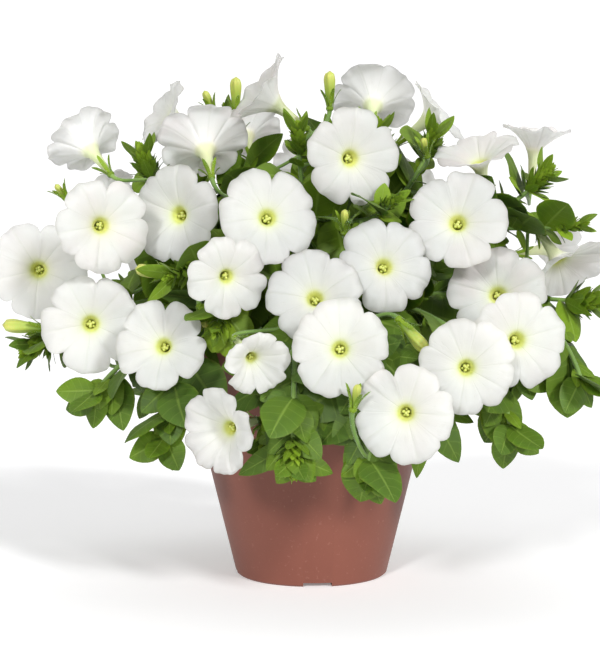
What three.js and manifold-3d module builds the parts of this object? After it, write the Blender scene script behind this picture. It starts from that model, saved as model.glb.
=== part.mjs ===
// A potted petunia in full bloom. A tapered nursery pot holds peat, leafy stems stand in the peat,
// and white blooms stand on stalks all round the bush.
// Units are millimetres and +Z is up. The origin is the centre of the pot's underside.
// The side with the most blooms faces -Y. A direction is given as a turn from -Y towards +X
// and a tilt above the horizontal, both in degrees.
import * as THREE from "three";
import { mergeVertices } from "three/addons/utils/BufferGeometryUtils.js";
import Module from "manifold-3d";

const wasm = await Module();
wasm.setup();

// The pot: a round nursery pot of moulded plastic
const potHeight = 167;
const rimRadius = 95;
const baseRadius = 52.5;
const baseRounding = 1.2;
const lipHeight = 5;
const lipProud = 1.8;
const potWall = 2.6;
const potFloor = 6;
const potSides = 28;
const drain = { count: 4, firstTurn: 4, width: 19, height: 2.8, inner: 22, holeRadius: 4, holeAt: 38 };

// The peat in the pot, and the holes that the stems stand in
const peatEdgeHeight = 151;
const peatMiddleHeight = 157;
const peatRoughness = 1.6;
const seatGap = 0.3;
const stemFootHeight = 138;
const stemCollarHeight = 160;

// Stems, stalks and leaves
const shootSides = 3;
const stalkSides = 3;
const crownCount = 4;
const peatHoleSides = 5;
const stemSteps = 7;
const stemRadius = 2.1;
const stemEndRadius = 1.4;
const branchRadius = 1.7;
const stalkRadius = 1.2;
const stalkReach = 34;
const receptacleRadius = 3.2;
const sepalLength = 12.5;
const sepalSpread = 25;
const leafSpacing = 18;
const lastLeafFromTip = 7;
const crownRadius = 2.1;
const crownLeaf = 27;
const crownWidthRatio = 0.5;
const crownSpread = { least: 34, most: 58 };
const crownLengthShare = { least: 0.75, most: 1.15 };
const crownRise = 1.5;
const crownSag = -0.08;
const leafSpread = { least: 50, most: 62 };
const leafLengthShare = { least: 0.9, most: 1.1 };
const leafSag = { least: 0.1, most: 0.26 };
const firstLeafAt = 42;
const branchFirstLeafAt = 14;
const oldLeaf = 50;
const youngLeaf = 30;
const fullGrownAt = 90;
const leafWidthRatio = 0.7;
const keelDepth = 1.3;
const leafNeckDepth = 1.9;
const leafRootDepth = 0.5;
const goldenTurn = 137.5;
const leafTurnPlay = 40;

// Blooms
const tubeLength = 28;
const tubeBaseRadius = 2;
const throatRatio = 0.22;
const throatDepth = 13;
const throatWall = 1.1;
const limbPart = 0.5;
const limbHeight = 4;
const limbFold = { valley: -0.6, ridge: 0.4 };
const limbRipple = 0.7;
const rimHeight = 3.2;
const rimRipple = 1.3;
const lobePlay = 0.035;
// The outline of one lobe: its turn, its share of the radius and its height over the rim's
const lobeOutline = [[0, 0.86, 1.6], [17, 0.99, -0.6], [36, 0.965, 0.4], [55, 0.99, -0.6]];

// Each stem stands at foot [x, y], rises straight by rise, and ends at tip. Its second handle lies at
// back from the tip. A branch leaves the stem at the part of its length given by at.
const stems = [
  { name: "upper_left", foot: [-14, 0], rise: 70, tip: [-114, -20, 284], back: [12, 4, -55],
    branches: [{ at: 0.55, tip: [-140, 18, 245], back: [30, -5, -20] }] },
  { name: "top_left", foot: [-7, 9], rise: 80, tip: [-62, 26, 322], back: [8, -2, -60],
    branches: [{ at: 0.6, tip: [-88, 30, 285], back: [12, -5, -25] }] },
  { name: "top_middle", foot: [2, -9], rise: 70, tip: [-9, -48, 296], back: [2, 8, -50],
    branches: [{ at: 0.55, tip: [50, -78, 250], back: [-16, 20, -24] }] },
  { name: "top_right", foot: [9, 6], rise: 80, tip: [80, -32, 296], back: [-14, 8, -55],
    branches: [{ at: 0.6, tip: [45, -30, 300], back: [-4, 6, -30] }] },
  { name: "upper_right", foot: [17, -4], rise: 60, tip: [152, -38, 270], back: [-30, 8, -40],
    branches: [{ at: 0.6, tip: [172, -52, 238], back: [-35, 12, -4] }] },
  { name: "right", foot: [27, -6], rise: 50, tip: [178, -52, 188], back: [-45, 14, 22],
    branches: [{ at: 0.6, tip: [168, -84, 140], back: [-12, 8, 40] }] },
  { name: "lower_right", foot: [20, -20], rise: 52, tip: [120, -103, 112], back: [-6, 4, 70],
    branches: [{ at: 0.55, tip: [132, -78, 150], back: [-22, 12, 24] }] },
  { name: "front_right", foot: [7, -27], rise: 60, tip: [32, -143, 88], back: [-2, 2, 95],
    branches: [{ at: 0.6, tip: [66, -118, 128], back: [-12, 10, 42] }] },
  { name: "front_middle", foot: [-6, -27], rise: 58, tip: [-12, -144, 96], back: [0, 3, 88],
    branches: [{ at: 0.6, tip: [-28, -121, 104], back: [4, 8, 48] }] },
  { name: "front_left", foot: [-9, -11], rise: 60, tip: [-58, -104, 172], back: [12, 26, 48],
    branches: [{ at: 0.5, tip: [-84, -86, 204], back: [20, 22, 12] }] },
  { name: "lower_left", foot: [-22, -17], rise: 50, tip: [-92, -92, 104], back: [5, 4, 84],
    branches: [{ at: 0.55, tip: [-136, -76, 132], back: [24, 10, 34] }] },
  { name: "left", foot: [-28, -2], rise: 50, tip: [-184, -34, 160], back: [52, 4, 36],
    branches: [{ at: 0.6, tip: [-158, 14, 178], back: [24, -6, 20] }] },
  { name: "back_left", foot: [-20, 19], rise: 60, tip: [-152, 96, 200], back: [48, -28, 24],
    branches: [{ at: 0.6, tip: [-128, 118, 124], back: [10, -14, 48] },
      { at: 0.5, tip: [-112, 82, 262], back: [26, -18, -22] }] },
  { name: "back_middle", foot: [2, 28], rise: 60, tip: [-12, 152, 104], back: [2, -4, 92],
    branches: [{ at: 0.6, tip: [-62, 138, 150], back: [14, -24, 34] },
      { at: 0.62, tip: [48, 142, 128], back: [-10, -16, 46] }] },
  { name: "back_right", foot: [22, 17], rise: 60, tip: [156, 92, 196], back: [-48, -26, 26],
    branches: [{ at: 0.6, tip: [126, 120, 124], back: [-10, -14, 48] },
      { at: 0.5, tip: [118, 76, 262], back: [-28, -16, -20] }] },
  { name: "top_back", foot: [2, 18], rise: 80, tip: [18, 92, 316], back: [-2, -22, -55],
    branches: [{ at: 0.55, tip: [-42, 118, 262], back: [10, -22, -20] },
      { at: 0.6, tip: [62, 112, 246], back: [-14, -26, 0] }] },
];

// Each bloom: the stem it grows from, the middle of its throat, where it faces, its width,
// the turn of its first notch, and how far it is open
const blooms = [
  { stem: "top_middle", place: [24, -70, 279], faces: [15, -7], width: 62, notch: 34, open: 1 },
  { stem: "top_middle", place: [-28, -100, 238], faces: [10, 9], width: 62, notch: 65, open: 1 },
  { stem: "left", place: [-134, -80, 235], faces: [22, -3], width: 59, notch: 66, open: 1 },
  { stem: "upper_left", place: [-87, -58, 244], faces: [-26, -1], width: 65, notch: 30, open: 1 },
  { stem: "left", place: [-186, -25, 210], faces: [8, -3], width: 65, notch: 68, open: 1 },
  { stem: "lower_left", place: [-142, -70, 173], faces: [11, 2], width: 62, notch: 65, open: 1 },
  { stem: "lower_left", place: [-92, -98, 159], faces: [-7, 11], width: 57, notch: 68, open: 1 },
  { stem: "front_left", place: [-52, -118, 201], faces: [22, -11], width: 49, notch: 62, open: 1.1 },
  { stem: "front_middle", place: [1, -112, 188], faces: [-1, 20], width: 58, notch: 50, open: 1 },
  { stem: "front_right", place: [15, -145, 158], faces: [-2, 4], width: 56, notch: 38, open: 1 },
  { stem: "front_right", place: [44, -97, 208], faces: [10, 12], width: 59, notch: 68, open: 1 },
  { stem: "upper_right", place: [91, -85, 236], faces: [-8, 10], width: 62, notch: 16, open: 1 },
  { stem: "right", place: [117, -80, 191], faces: [-10, 6], width: 61, notch: 40, open: 1 },
  { stem: "lower_right", place: [121, -122, 163], faces: [8, 2], width: 59, notch: 36, open: 1 },
  { stem: "lower_right", place: [89, -135, 147], faces: [-2, 2], width: 56, notch: 60, open: 1 },
  { stem: "front_right", place: [52, -152, 122], faces: [-10, 1], width: 56, notch: 16, open: 1 },
  { stem: "front_middle", place: [-36, -140, 153], faces: [23, -21], width: 38, notch: 40, open: 0.7 },
  { stem: "front_middle", place: [-49, -138, 112], faces: [-34, -5], width: 49, notch: 22, open: 0.7 },
  { stem: "upper_left", place: [-151, -25, 292], faces: [-133, 40], width: 54, notch: 40, open: 0.75 },
  { stem: "top_left", place: [-99, 5, 320], faces: [-63, 24], width: 53, notch: 8, open: 1 },
  { stem: "top_left", place: [-72, -30, 291], faces: [-164, 46], width: 62, notch: 38, open: 0.85 },
  { stem: "top_left", place: [-27, -15, 326], faces: [-74, 34], width: 62, notch: 58, open: 0.8 },
  { stem: "top_right", place: [45, 25, 332], faces: [172, 47], width: 62, notch: 18, open: 0.9 },
  { stem: "top_right", place: [84, 5, 319], faces: [68, 35], width: 57, notch: 28, open: 1 },
  { stem: "upper_right", place: [111, -45, 280], faces: [-29, 54], width: 56, notch: 52, open: 0.9 },
  { stem: "upper_right", place: [159, 10, 299], faces: [8, 73], width: 50, notch: 2, open: 0.8 },
  { stem: "right", place: [164, -45, 215], faces: [42, -51], width: 62, notch: 42, open: 0.9 },
  { stem: "back_left", place: [-178, 55, 196], faces: [-112, 5], width: 60, notch: 14, open: 1 },
  { stem: "back_left", place: [-150, 60, 262], faces: [-118, 30], width: 58, notch: 44, open: 1 },
  { stem: "back_left", place: [-118, 112, 226], faces: [-140, 10], width: 62, notch: 64, open: 1 },
  { stem: "back_left", place: [-126, 120, 158], faces: [-134, -5], width: 58, notch: 24, open: 1 },
  { stem: "top_back", place: [-50, 75, 318], faces: [-160, 50], width: 60, notch: 54, open: 1 },
  { stem: "back_middle", place: [-48, 158, 196], faces: [-165, 5], width: 62, notch: 4, open: 1 },
  { stem: "back_middle", place: [-85, 140, 130], faces: [-150, -10], width: 56, notch: 34, open: 1 },
  { stem: "top_back", place: [0, 110, 296], faces: [178, 35], width: 60, notch: 16, open: 1 },
  { stem: "top_back", place: [18, 165, 236], faces: [172, 12], width: 62, notch: 46, open: 1 },
  { stem: "back_middle", place: [8, 168, 150], faces: [176, -5], width: 58, notch: 66, open: 1 },
  { stem: "top_back", place: [75, 120, 280], faces: [150, 30], width: 60, notch: 26, open: 1 },
  { stem: "back_right", place: [82, 150, 200], faces: [155, 5], width: 62, notch: 56, open: 1 },
  { stem: "back_right", place: [130, 105, 240], faces: [130, 15], width: 60, notch: 6, open: 1 },
  { stem: "back_right", place: [135, 110, 160], faces: [132, -5], width: 58, notch: 36, open: 1 },
  { stem: "back_right", place: [178, 45, 230], faces: [105, 10], width: 60, notch: 20, open: 1 },
];

// Each bud: the stem it grows from, the place of its base, where it points and its length
const buds = [
  { stem: "left", place: [-176, -52, 170], faces: [-80, 5], length: 28 },
  { stem: "front_left", place: [-90, -78, 203], faces: [-75, 12], length: 24 },
  { stem: "top_left", place: [-54, 10, 325], faces: [10, 80], length: 21 },
  { stem: "top_left", place: [-70, 16, 326], faces: [-60, 62], length: 15 },
  { stem: "top_middle", place: [12, -34, 320], faces: [0, 78], length: 18 },
  { stem: "front_right", place: [52, -120, 174], faces: [60, -45], length: 26 },
  { stem: "front_right", place: [22, -158, 126], faces: [25, 66], length: 15 },
  { stem: "top_right", place: [76, -44, 286], faces: [-20, 45], length: 14 },
  { stem: "top_middle", place: [20, -84, 232], faces: [0, 60], length: 15 },
  { stem: "front_left", place: [-70, -90, 182], faces: [30, -55], length: 15 },
  { stem: "upper_left", place: [-166, -30, 258], faces: [-60, 50], length: 13 },
  { stem: "back_left", place: [-100, 112, 268], faces: [-140, 50], length: 20 },
  { stem: "top_back", place: [30, 132, 268], faces: [175, 45], length: 18 },
  { stem: "back_right", place: [112, 132, 214], faces: [140, 20], length: 22 },
  { stem: "back_middle", place: [-40, 160, 160], faces: [-170, -10], length: 20 },
];

const radians = Math.PI / 180;
const up = new THREE.Vector3(0, 0, 1);

// An even number from 0 to 1 that depends only on its three seeds
function chance(a, b, c) {
  const wave = Math.sin(a * 127.1 + b * 311.7 + c * 74.7) * 43758.5453;
  return wave - Math.floor(wave);
}

function facing([turn, tilt]) {
  const level = Math.cos(tilt * radians);
  return new THREE.Vector3(
    Math.sin(turn * radians) * level,
    -Math.cos(turn * radians) * level,
    Math.sin(tilt * radians),
  );
}

function between({ least, most }, share) {
  return least + (most - least) * share;
}

// The part of a vector that stands square to an axis, at length 1
function squareTo(vector, axis) {
  return vector.clone().addScaledVector(axis, -vector.dot(axis)).normalize();
}

// A closed skin, made ring by ring. Rings run counterclockwise seen against the axis, so that bands
// from one ring to the next face outwards.
class Skin {
  constructor() {
    this.points = [];
    this.faces = [];
  }

  add(point) {
    this.points.push(point.x, point.y, point.z);
    return this.points.length / 3 - 1;
  }

  ring(points) {
    return points.map((point) => this.add(point));
  }

  // Joins two rings of any sizes, going round both at the same pace
  band(from, to) {
    let i = 0;
    let j = 0;
    while (i < from.length || j < to.length) {
      const a = from[i % from.length];
      const b = to[j % to.length];
      if (j === to.length || (i < from.length && (i + 0.5) / from.length <= (j + 0.5) / to.length)) {
        i += 1;
        this.faces.push(a, from[i % from.length], b);
      } else {
        j += 1;
        this.faces.push(a, to[j % to.length], b);
      }
    }
  }

  point(from, apex) {
    for (let i = 0; i < from.length; i++) {
      this.faces.push(from[i], from[(i + 1) % from.length], apex);
    }
  }

  startPoint(apex, to) {
    for (let i = 0; i < to.length; i++) this.faces.push(apex, to[(i + 1) % to.length], to[i]);
  }

  startCap(ring) {
    for (let i = 1; i < ring.length - 1; i++) this.faces.push(ring[0], ring[i + 1], ring[i]);
  }

  endCap(ring) {
    for (let i = 1; i < ring.length - 1; i++) this.faces.push(ring[0], ring[i], ring[i + 1]);
  }

  solid() {
    return solidOf(this.points, this.faces);
  }
}

function solidOf(points, faces) {
  const mesh = new wasm.Mesh({
    numProp: 3,
    vertProperties: new Float32Array(points),
    triVerts: new Uint32Array(faces),
  });
  return new wasm.Manifold(mesh);
}

function solidFromGeometry(geometry) {
  const bare = geometry.clone();
  bare.deleteAttribute("normal");
  bare.deleteAttribute("uv");
  const merged = mergeVertices(bare, 1e-3);
  return solidOf(Array.from(merged.attributes.position.array), Array.from(merged.index.array));
}

function geometryFromSolid(solid) {
  const mesh = solid.getMesh();
  const geometry = new THREE.BufferGeometry();
  geometry.setAttribute("position", new THREE.BufferAttribute(mesh.vertProperties, 3));
  geometry.setIndex(new THREE.BufferAttribute(mesh.triVerts, 1));
  return geometry;
}

function circle(centre, across, along, radii, turns) {
  return turns.map((turn, i) => {
    const radius = Array.isArray(radii) ? radii[i] : radii;
    return centre
      .clone()
      .addScaledVector(across, radius * Math.cos(turn * radians))
      .addScaledVector(along, radius * Math.sin(turn * radians));
  });
}

function evenTurns(count, first = 0) {
  return Array.from({ length: count }, (_, i) => first + (360 * i) / count);
}

// What already stands, with its box, so that later pieces can keep clear of it
const standing = [];

function stand(solid) {
  standing.push({ solid, box: solid.boundingBox() });
}

function isClear(solid, others = standing) {
  const { min, max } = solid.boundingBox();
  return others.every(({ solid: other, box }) => {
    for (let k = 0; k < 3; k++) {
      if (min[k] > box.max[k] || max[k] < box.min[k]) return true;
    }
    return solid.intersect(other).isEmpty();
  });
}

// The pot: a turned wall with a low lip, four drain channels under its floor and a hole in each
function potOuterRadius(height) {
  const top = potHeight - lipHeight;
  return baseRadius + ((rimRadius - lipProud - baseRadius) * Math.min(height, top)) / top;
}

function potInnerRadius(height) {
  const low = potOuterRadius(potFloor) - potWall;
  const high = potOuterRadius(potHeight) - potWall;
  return low + ((high - low) * (height - potFloor)) / (potHeight - potFloor);
}

function makePot() {
  const lipStart = potHeight - lipHeight;
  const profile = [
    new THREE.Vector2(0, 0),
    new THREE.Vector2(baseRadius - baseRounding, 0),
    new THREE.Vector2(potOuterRadius(baseRounding), baseRounding),
    new THREE.Vector2(potOuterRadius(lipStart), lipStart),
    new THREE.Vector2(rimRadius, lipStart + 0.8),
    new THREE.Vector2(rimRadius, potHeight - 0.8),
    new THREE.Vector2(rimRadius - 0.8, potHeight),
    new THREE.Vector2(potInnerRadius(potHeight), potHeight),
    new THREE.Vector2(potInnerRadius(potFloor), potFloor),
    new THREE.Vector2(0, potFloor),
  ];
  const turned = new THREE.LatheGeometry(profile, potSides).rotateX(Math.PI / 2);
  let pot = solidFromGeometry(turned);
  if (pot.volume() < 0) throw new Error("the pot's profile runs the wrong way");
  for (const turn of evenTurns(drain.count, drain.firstTurn)) {
    const out = facing([turn, 0]);
    const channelLength = baseRadius + 5 - drain.inner;
    const channel = new THREE.BoxGeometry(drain.width, channelLength, 2 * drain.height)
      .rotateZ(turn * radians)
      .translate(
        out.x * (drain.inner + channelLength / 2),
        out.y * (drain.inner + channelLength / 2),
        0,
      );
    const hole = new THREE.CylinderGeometry(drain.holeRadius, drain.holeRadius, 3 * potFloor, 8)
      .rotateX(Math.PI / 2)
      .translate(out.x * drain.holeAt, out.y * drain.holeAt, 0);
    pot = pot.subtract(solidFromGeometry(channel)).subtract(solidFromGeometry(hole));
  }
  return pot;
}

// The peat fills the pot to a little below the rim. Its top is low mounds, with a plain hole for each stem.
function makePeat() {
  const inside = (height) => potInnerRadius(height) - seatGap;
  const bottom = potFloor + seatGap;
  const radii = [inside(bottom), inside(peatEdgeHeight), 62, 34];
  const heights = [bottom, peatEdgeHeight, peatEdgeHeight + 3, peatMiddleHeight - 1];
  const skin = new Skin();
  const counts = [potSides, potSides, potSides, potSides / 2];
  let last = null;
  counts.forEach((count, level) => {
    const turns = evenTurns(count);
    const points = turns.map((turn, i) => {
      const lift = level > 1 ? (chance(level, i, 1) - 0.5) * 2 * peatRoughness : 0;
      return new THREE.Vector3(
        radii[level] * Math.cos(turn * radians),
        radii[level] * Math.sin(turn * radians),
        heights[level] + lift,
      );
    });
    const ring = skin.ring(points);
    if (last) skin.band(last, ring);
    else skin.startCap(ring);
    last = ring;
  });
  skin.point(last, skin.add(new THREE.Vector3(0, 0, peatMiddleHeight)));
  let peat = skin.solid();
  for (const { foot } of stems) {
    const hole = new Skin();
    const turns = evenTurns(peatHoleSides);
    const across = new THREE.Vector3(1, 0, 0);
    const along = new THREE.Vector3(0, 1, 0);
    const radius = (stemRadius + seatGap) / Math.cos(Math.PI / peatHoleSides);
    const low = hole.ring(
      circle(new THREE.Vector3(...foot, stemFootHeight - seatGap), across, along, radius, turns));
    const high = hole.ring(
      circle(new THREE.Vector3(...foot, potHeight), across, along, radius, turns));
    hole.startCap(low);
    hole.band(low, high);
    hole.endCap(high);
    peat = peat.subtract(hole.solid());
  }
  return peat;
}

// A path of steps along a curve, with a frame that is carried along it without twist
function pathAlong(curve, parts, lead = []) {
  const points = [...lead, ...parts.map((part) => curve.getPoint(part))];
  const last = points.length - 1;
  let across = new THREE.Vector3(1, 0, 0);
  return points.map((point, i) => {
    const tangent = points[Math.min(i + 1, last)].clone().sub(points[Math.max(i - 1, 0)]).normalize();
    if (i === 0 && Math.abs(tangent.x) > 0.9) across.set(0, 0, 1);
    across = squareTo(across, tangent);
    return { point, tangent, across: across.clone(), along: tangent.clone().cross(across) };
  });
}

// A tube starts with a flat end, or where it grows out of another, with a point inside that one
function tubeSkin(path, radii, sides) {
  const skin = new Skin();
  let last = null;
  path.forEach(({ point, across, along }, i) => {
    if (radii[i] === 0) return;
    const ring = skin.ring(circle(point, across, along, radii[i], evenTurns(sides)));
    if (last) skin.band(last, ring);
    else if (i === 0) skin.startCap(ring);
    else skin.startPoint(skin.add(path[0].point), ring);
    last = ring;
  });
  return { skin, last };
}

// A shoot ends in a flat tip, or in a crown of young leaves that stand round the tip
function shootSolid(path, radii, crown = null) {
  const { skin, last } = tubeSkin(path, radii, shootSides);
  if (crown) addCrown(skin, last, path[path.length - 1], crown);
  else skin.endCap(last);
  return skin.solid();
}

// The leaves of a crown join at their bases, so that each one is a spike on the edge of a small disc
function addCrown(skin, last, end, crown) {
  const half = 180 / crownCount;
  const corners = skin.ring(
    circle(crownCentre(end), end.across, end.along, crownRadius, evenTurns(crownCount)));
  const insides = skin.ring(
    circle(crownCentre(end), end.across, end.along, crownRadius * 0.5, evenTurns(crownCount, half)));
  skin.band(last, corners);
  crown.forEach((leaf, i) => {
    const next = (i + 1) % crownCount;
    const side = leaf.along.clone().cross(leaf.face);
    const [part, share, depth] = leafShapes.small[0];
    const centre = leafPoint(leaf, part);
    const width = leafHalfWidth(leaf, share);
    const middle = skin.ring([
      centre.clone().addScaledVector(side, width),
      centre.clone().addScaledVector(side, -width),
      centre.clone().addScaledVector(leaf.face, depth),
    ]);
    skin.band([corners[i], corners[next], insides[i]], middle);
    skin.point(middle, skin.add(leafPoint(leaf, 1)));
    skin.faces.push(insides[i], corners[next], insides[next]);
  });
  skin.endCap(insides);
}

function crownCentre({ point, tangent }) {
  return point.clone().addScaledVector(tangent, crownRise);
}

// The sizes and spreads that a crown may have, from the fullest down
const crownChoices = [1, 0.8, 0.6].flatMap((size) => [1, 1.3, 0.7].map((spread) => ({ size, spread })));

function crownLeaves(end, shootNumber, choice) {
  const turns = evenTurns(crownCount, 180 / crownCount);
  return turns.map((turn, i) => {
    const [radial] = circle(new THREE.Vector3(), end.across, end.along, 1, [turn]);
    const spread = between(crownSpread, chance(shootNumber, i, 19)) * choice.spread * radians;
    const along = end.tangent
      .clone()
      .multiplyScalar(Math.cos(spread))
      .addScaledVector(radial, Math.sin(spread));
    return {
      base: crownCentre(end),
      along,
      face: squareTo(end.tangent, along),
      length: crownLeaf * between(crownLengthShare, chance(shootNumber, i, 23)) * choice.size,
      sag: crownSag,
      widthRatio: crownWidthRatio,
    };
  });
}

// A shoot may swing a little to one side where the way is not free
const swings = [
  [0, 0], [9, 0], [-9, 0], [0, 10], [0, -10], [16, 0], [-16, 0], [12, 10], [-12, 10], [0, 20],
  [12, -10], [-12, -10], [24, 0], [-24, 0], [0, -20], [20, 14], [-20, 14], [20, -14], [-20, -14],
  [34, 8], [-34, 8], [0, 34],
];

function swungHandle(handle, from, to, [sideways, lift]) {
  const way = to.clone().sub(from);
  const side = new THREE.Vector3(-way.y, way.x, 0).normalize();
  return handle.clone().addScaledVector(side, sideways).addScaledVector(up, lift);
}

// The point and the heading at a part of a path's length, measured along its straight steps
function placeOn(path, part) {
  const steps = path.slice(1).map(({ point }, i) => point.distanceTo(path[i].point));
  let left = part * steps.reduce((sum, step) => sum + step, 0);
  let i = 0;
  while (i < steps.length - 1 && left > steps[i]) {
    left -= steps[i];
    i += 1;
  }
  const heading = path[i + 1].point.clone().sub(path[i].point).normalize();
  return { point: path[i].point.clone().addScaledVector(heading, left), heading };
}

function pathLength(path) {
  return path.slice(1).reduce((sum, { point }, i) => sum + point.distanceTo(path[i].point), 0);
}

function evenParts(steps) {
  return Array.from({ length: steps + 1 }, (_, i) => i / steps);
}

// A side growth has a short first step, and its first point is drawn back through what it grows from
const sideParts = [0, 0.14, 0.4, 0.7, 1];
const stalkParts = [0, 0.14, 0.5, 1];
const rootDepth = 1;

function rootedPath(curve, parts) {
  const path = pathAlong(curve, parts);
  path[0].point.addScaledVector(path[1].point.clone().sub(path[0].point).normalize(), -rootDepth);
  return path;
}

function shootRadii(path, from, to) {
  return path.map((_, i) => from + ((to - from) * i) / (path.length - 1));
}

const clearanceAround = 0.4;

function firstClear(choices, make, makeTest, others = standing) {
  for (const choice of choices) {
    const made = make(choice);
    if (made && isClear(makeTest(made), others)) return made;
  }
  return null;
}

function growStem(stem) {
  const foot = new THREE.Vector3(...stem.foot, stemFootHeight);
  const collar = new THREE.Vector3(...stem.foot, stemCollarHeight);
  const tip = new THREE.Vector3(...stem.tip);
  const first = collar.clone().addScaledVector(up, stem.rise);
  const second = tip.clone().add(new THREE.Vector3(...stem.back));
  const make = (swing) => {
    const curve = new THREE.CubicBezierCurve3(collar, first, swungHandle(second, collar, tip, swing), tip);
    const path = pathAlong(curve, evenParts(stemSteps), [foot]);
    const radii = shootRadii(path, stemRadius, stemEndRadius);
    return { path, radii, grown: path.slice(1), firstLeaf: firstLeafAt };
  };
  return growTube(make);
}

function growBranch(stem, trunk, branch) {
  const { point: from, heading } = placeOn(trunk.grown, branch.at);
  const tip = new THREE.Vector3(...branch.tip);
  const reach = from.distanceTo(tip);
  const first = from.clone().addScaledVector(heading, reach * 0.3);
  const second = tip.clone().add(new THREE.Vector3(...branch.back));
  const make = (swing) => {
    const curve = new THREE.CubicBezierCurve3(from, first, swungHandle(second, from, tip, swing), tip);
    const path = rootedPath(curve, sideParts);
    const radii = shootRadii(path, branchRadius, stemEndRadius);
    radii[0] = 0;
    return { path, radii, grown: path, firstLeaf: branchFirstLeafAt };
  };
  return growTube(make, stem.pieces);
}

let shootCount = 0;

// Takes the first swing that is clear of everything but the solids of its own stem
function growTube(make, own = []) {
  const ownSolids = new Set(own);
  const others = standing.filter(({ solid }) => !ownSolids.has(solid));
  const test = ({ path, radii }) =>
    shootSolid(path, radii.map((radius) => (radius ? radius + clearanceAround : 0)));
  const shoot = firstClear(swings, make, test, others) ?? make(swings[0]);
  shootCount += 1;
  shoot.number = shootCount;
  const end = shoot.path[shoot.path.length - 1];
  const makeCrown = (choice) => crownLeaves(end, shoot.number, choice);
  const crownRoom = (crown) => wasm.Manifold.union(crown.map(leafRoom));
  shoot.crown = firstClear(crownChoices, makeCrown, crownRoom, others);
  shoot.solid = shootSolid(shoot.path, shoot.radii, shoot.crown);
  return shoot;
}

// A stalk with its calyx: five narrow sepals round a small flat seat, where the bloom or bud sits
function stalkSolid({ path, seat }, spread = 0) {
  const radii = path.map((_, i) => (i === 0 ? 0 : stalkRadius + spread));
  const { skin, last } = tubeSkin(path, radii, stalkSides);
  const { tangent: axis, across, along } = path[path.length - 1];
  const corners = skin.ring(circle(seat, across, along, receptacleRadius + spread, evenTurns(5)));
  const insides = skin.ring(circle(seat, across, along, receptacleRadius - 1, evenTurns(5, 36)));
  const reach = receptacleRadius * 0.8 + (sepalLength + spread) * Math.sin(sepalSpread * radians);
  const tips = circle(seat, across, along, reach, evenTurns(5, 36));
  const rise = (sepalLength + spread) * Math.cos(sepalSpread * radians);
  skin.band(last, corners);
  tips.forEach((tip, i) => {
    const apex = skin.add(tip.addScaledVector(axis, rise));
    skin.point([corners[i], corners[(i + 1) % 5], insides[i]], apex);
  });
  skin.endCap(insides);
  insides.forEach((inside, i) => {
    const next = (i + 1) % 5;
    skin.faces.push(inside, corners[next], insides[next]);
  });
  return skin.solid();
}

const seatHeight = 3;

// A stalk leaves the nearest free place of its stem and turns until it points as its bloom faces
function growStalk(shoots, seat, axis, others) {
  const top = seat.clone().addScaledVector(axis, -seatHeight);
  const aim = top.clone().addScaledVector(axis, -stalkReach);
  const starts = [];
  for (const shoot of shoots) {
    for (let i = 6; i <= 19; i++) {
      const { point, heading } = placeOn(shoot.grown, i / 20);
      const cost = point.distanceTo(aim) + 0.5 * point.distanceTo(top);
      starts.push({ point, heading, cost });
    }
  }
  starts.sort((a, b) => a.cost - b.cost);
  const choices = [];
  for (const swing of swings.slice(0, 11)) {
    for (const start of starts.slice(0, 9)) choices.push({ start, swing });
  }
  const make = ({ start, swing }) => {
    const reach = start.point.distanceTo(top);
    const first = start.point.clone().addScaledVector(start.heading, reach * 0.25);
    const second = top.clone().addScaledVector(axis, -reach * 0.4);
    const curve = new THREE.CubicBezierCurve3(
      start.point,
      swungHandle(first, start.point, top, swing),
      second,
      top,
    );
    const path = rootedPath(curve, stalkParts);
    const end = path[path.length - 1];
    end.tangent = axis.clone();
    end.across = squareTo(end.across, axis);
    end.along = axis.clone().cross(end.across);
    return { path, seat };
  };
  return firstClear(choices, make, (made) => stalkSolid(made, clearanceAround), others);
}

// A bud is a slim closed spindle on the seat of its calyx
function budSolid(seat, axis, across, length) {
  const skin = new Skin();
  const along = axis.clone().cross(across);
  const onAxis = (height) => seat.clone().addScaledVector(axis, height);
  const ring = (height, radius) =>
    skin.ring(circle(onAxis(height), across, along, radius, evenTurns(5, 36)));
  const waist = ring(0.4 * length, 2.3);
  const head = ring(0.8 * length, 3.1);
  skin.startPoint(skin.add(onAxis(-2)), waist);
  skin.band(waist, head);
  skin.point(head, skin.add(onAxis(length)));
  return skin.solid();
}

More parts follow.
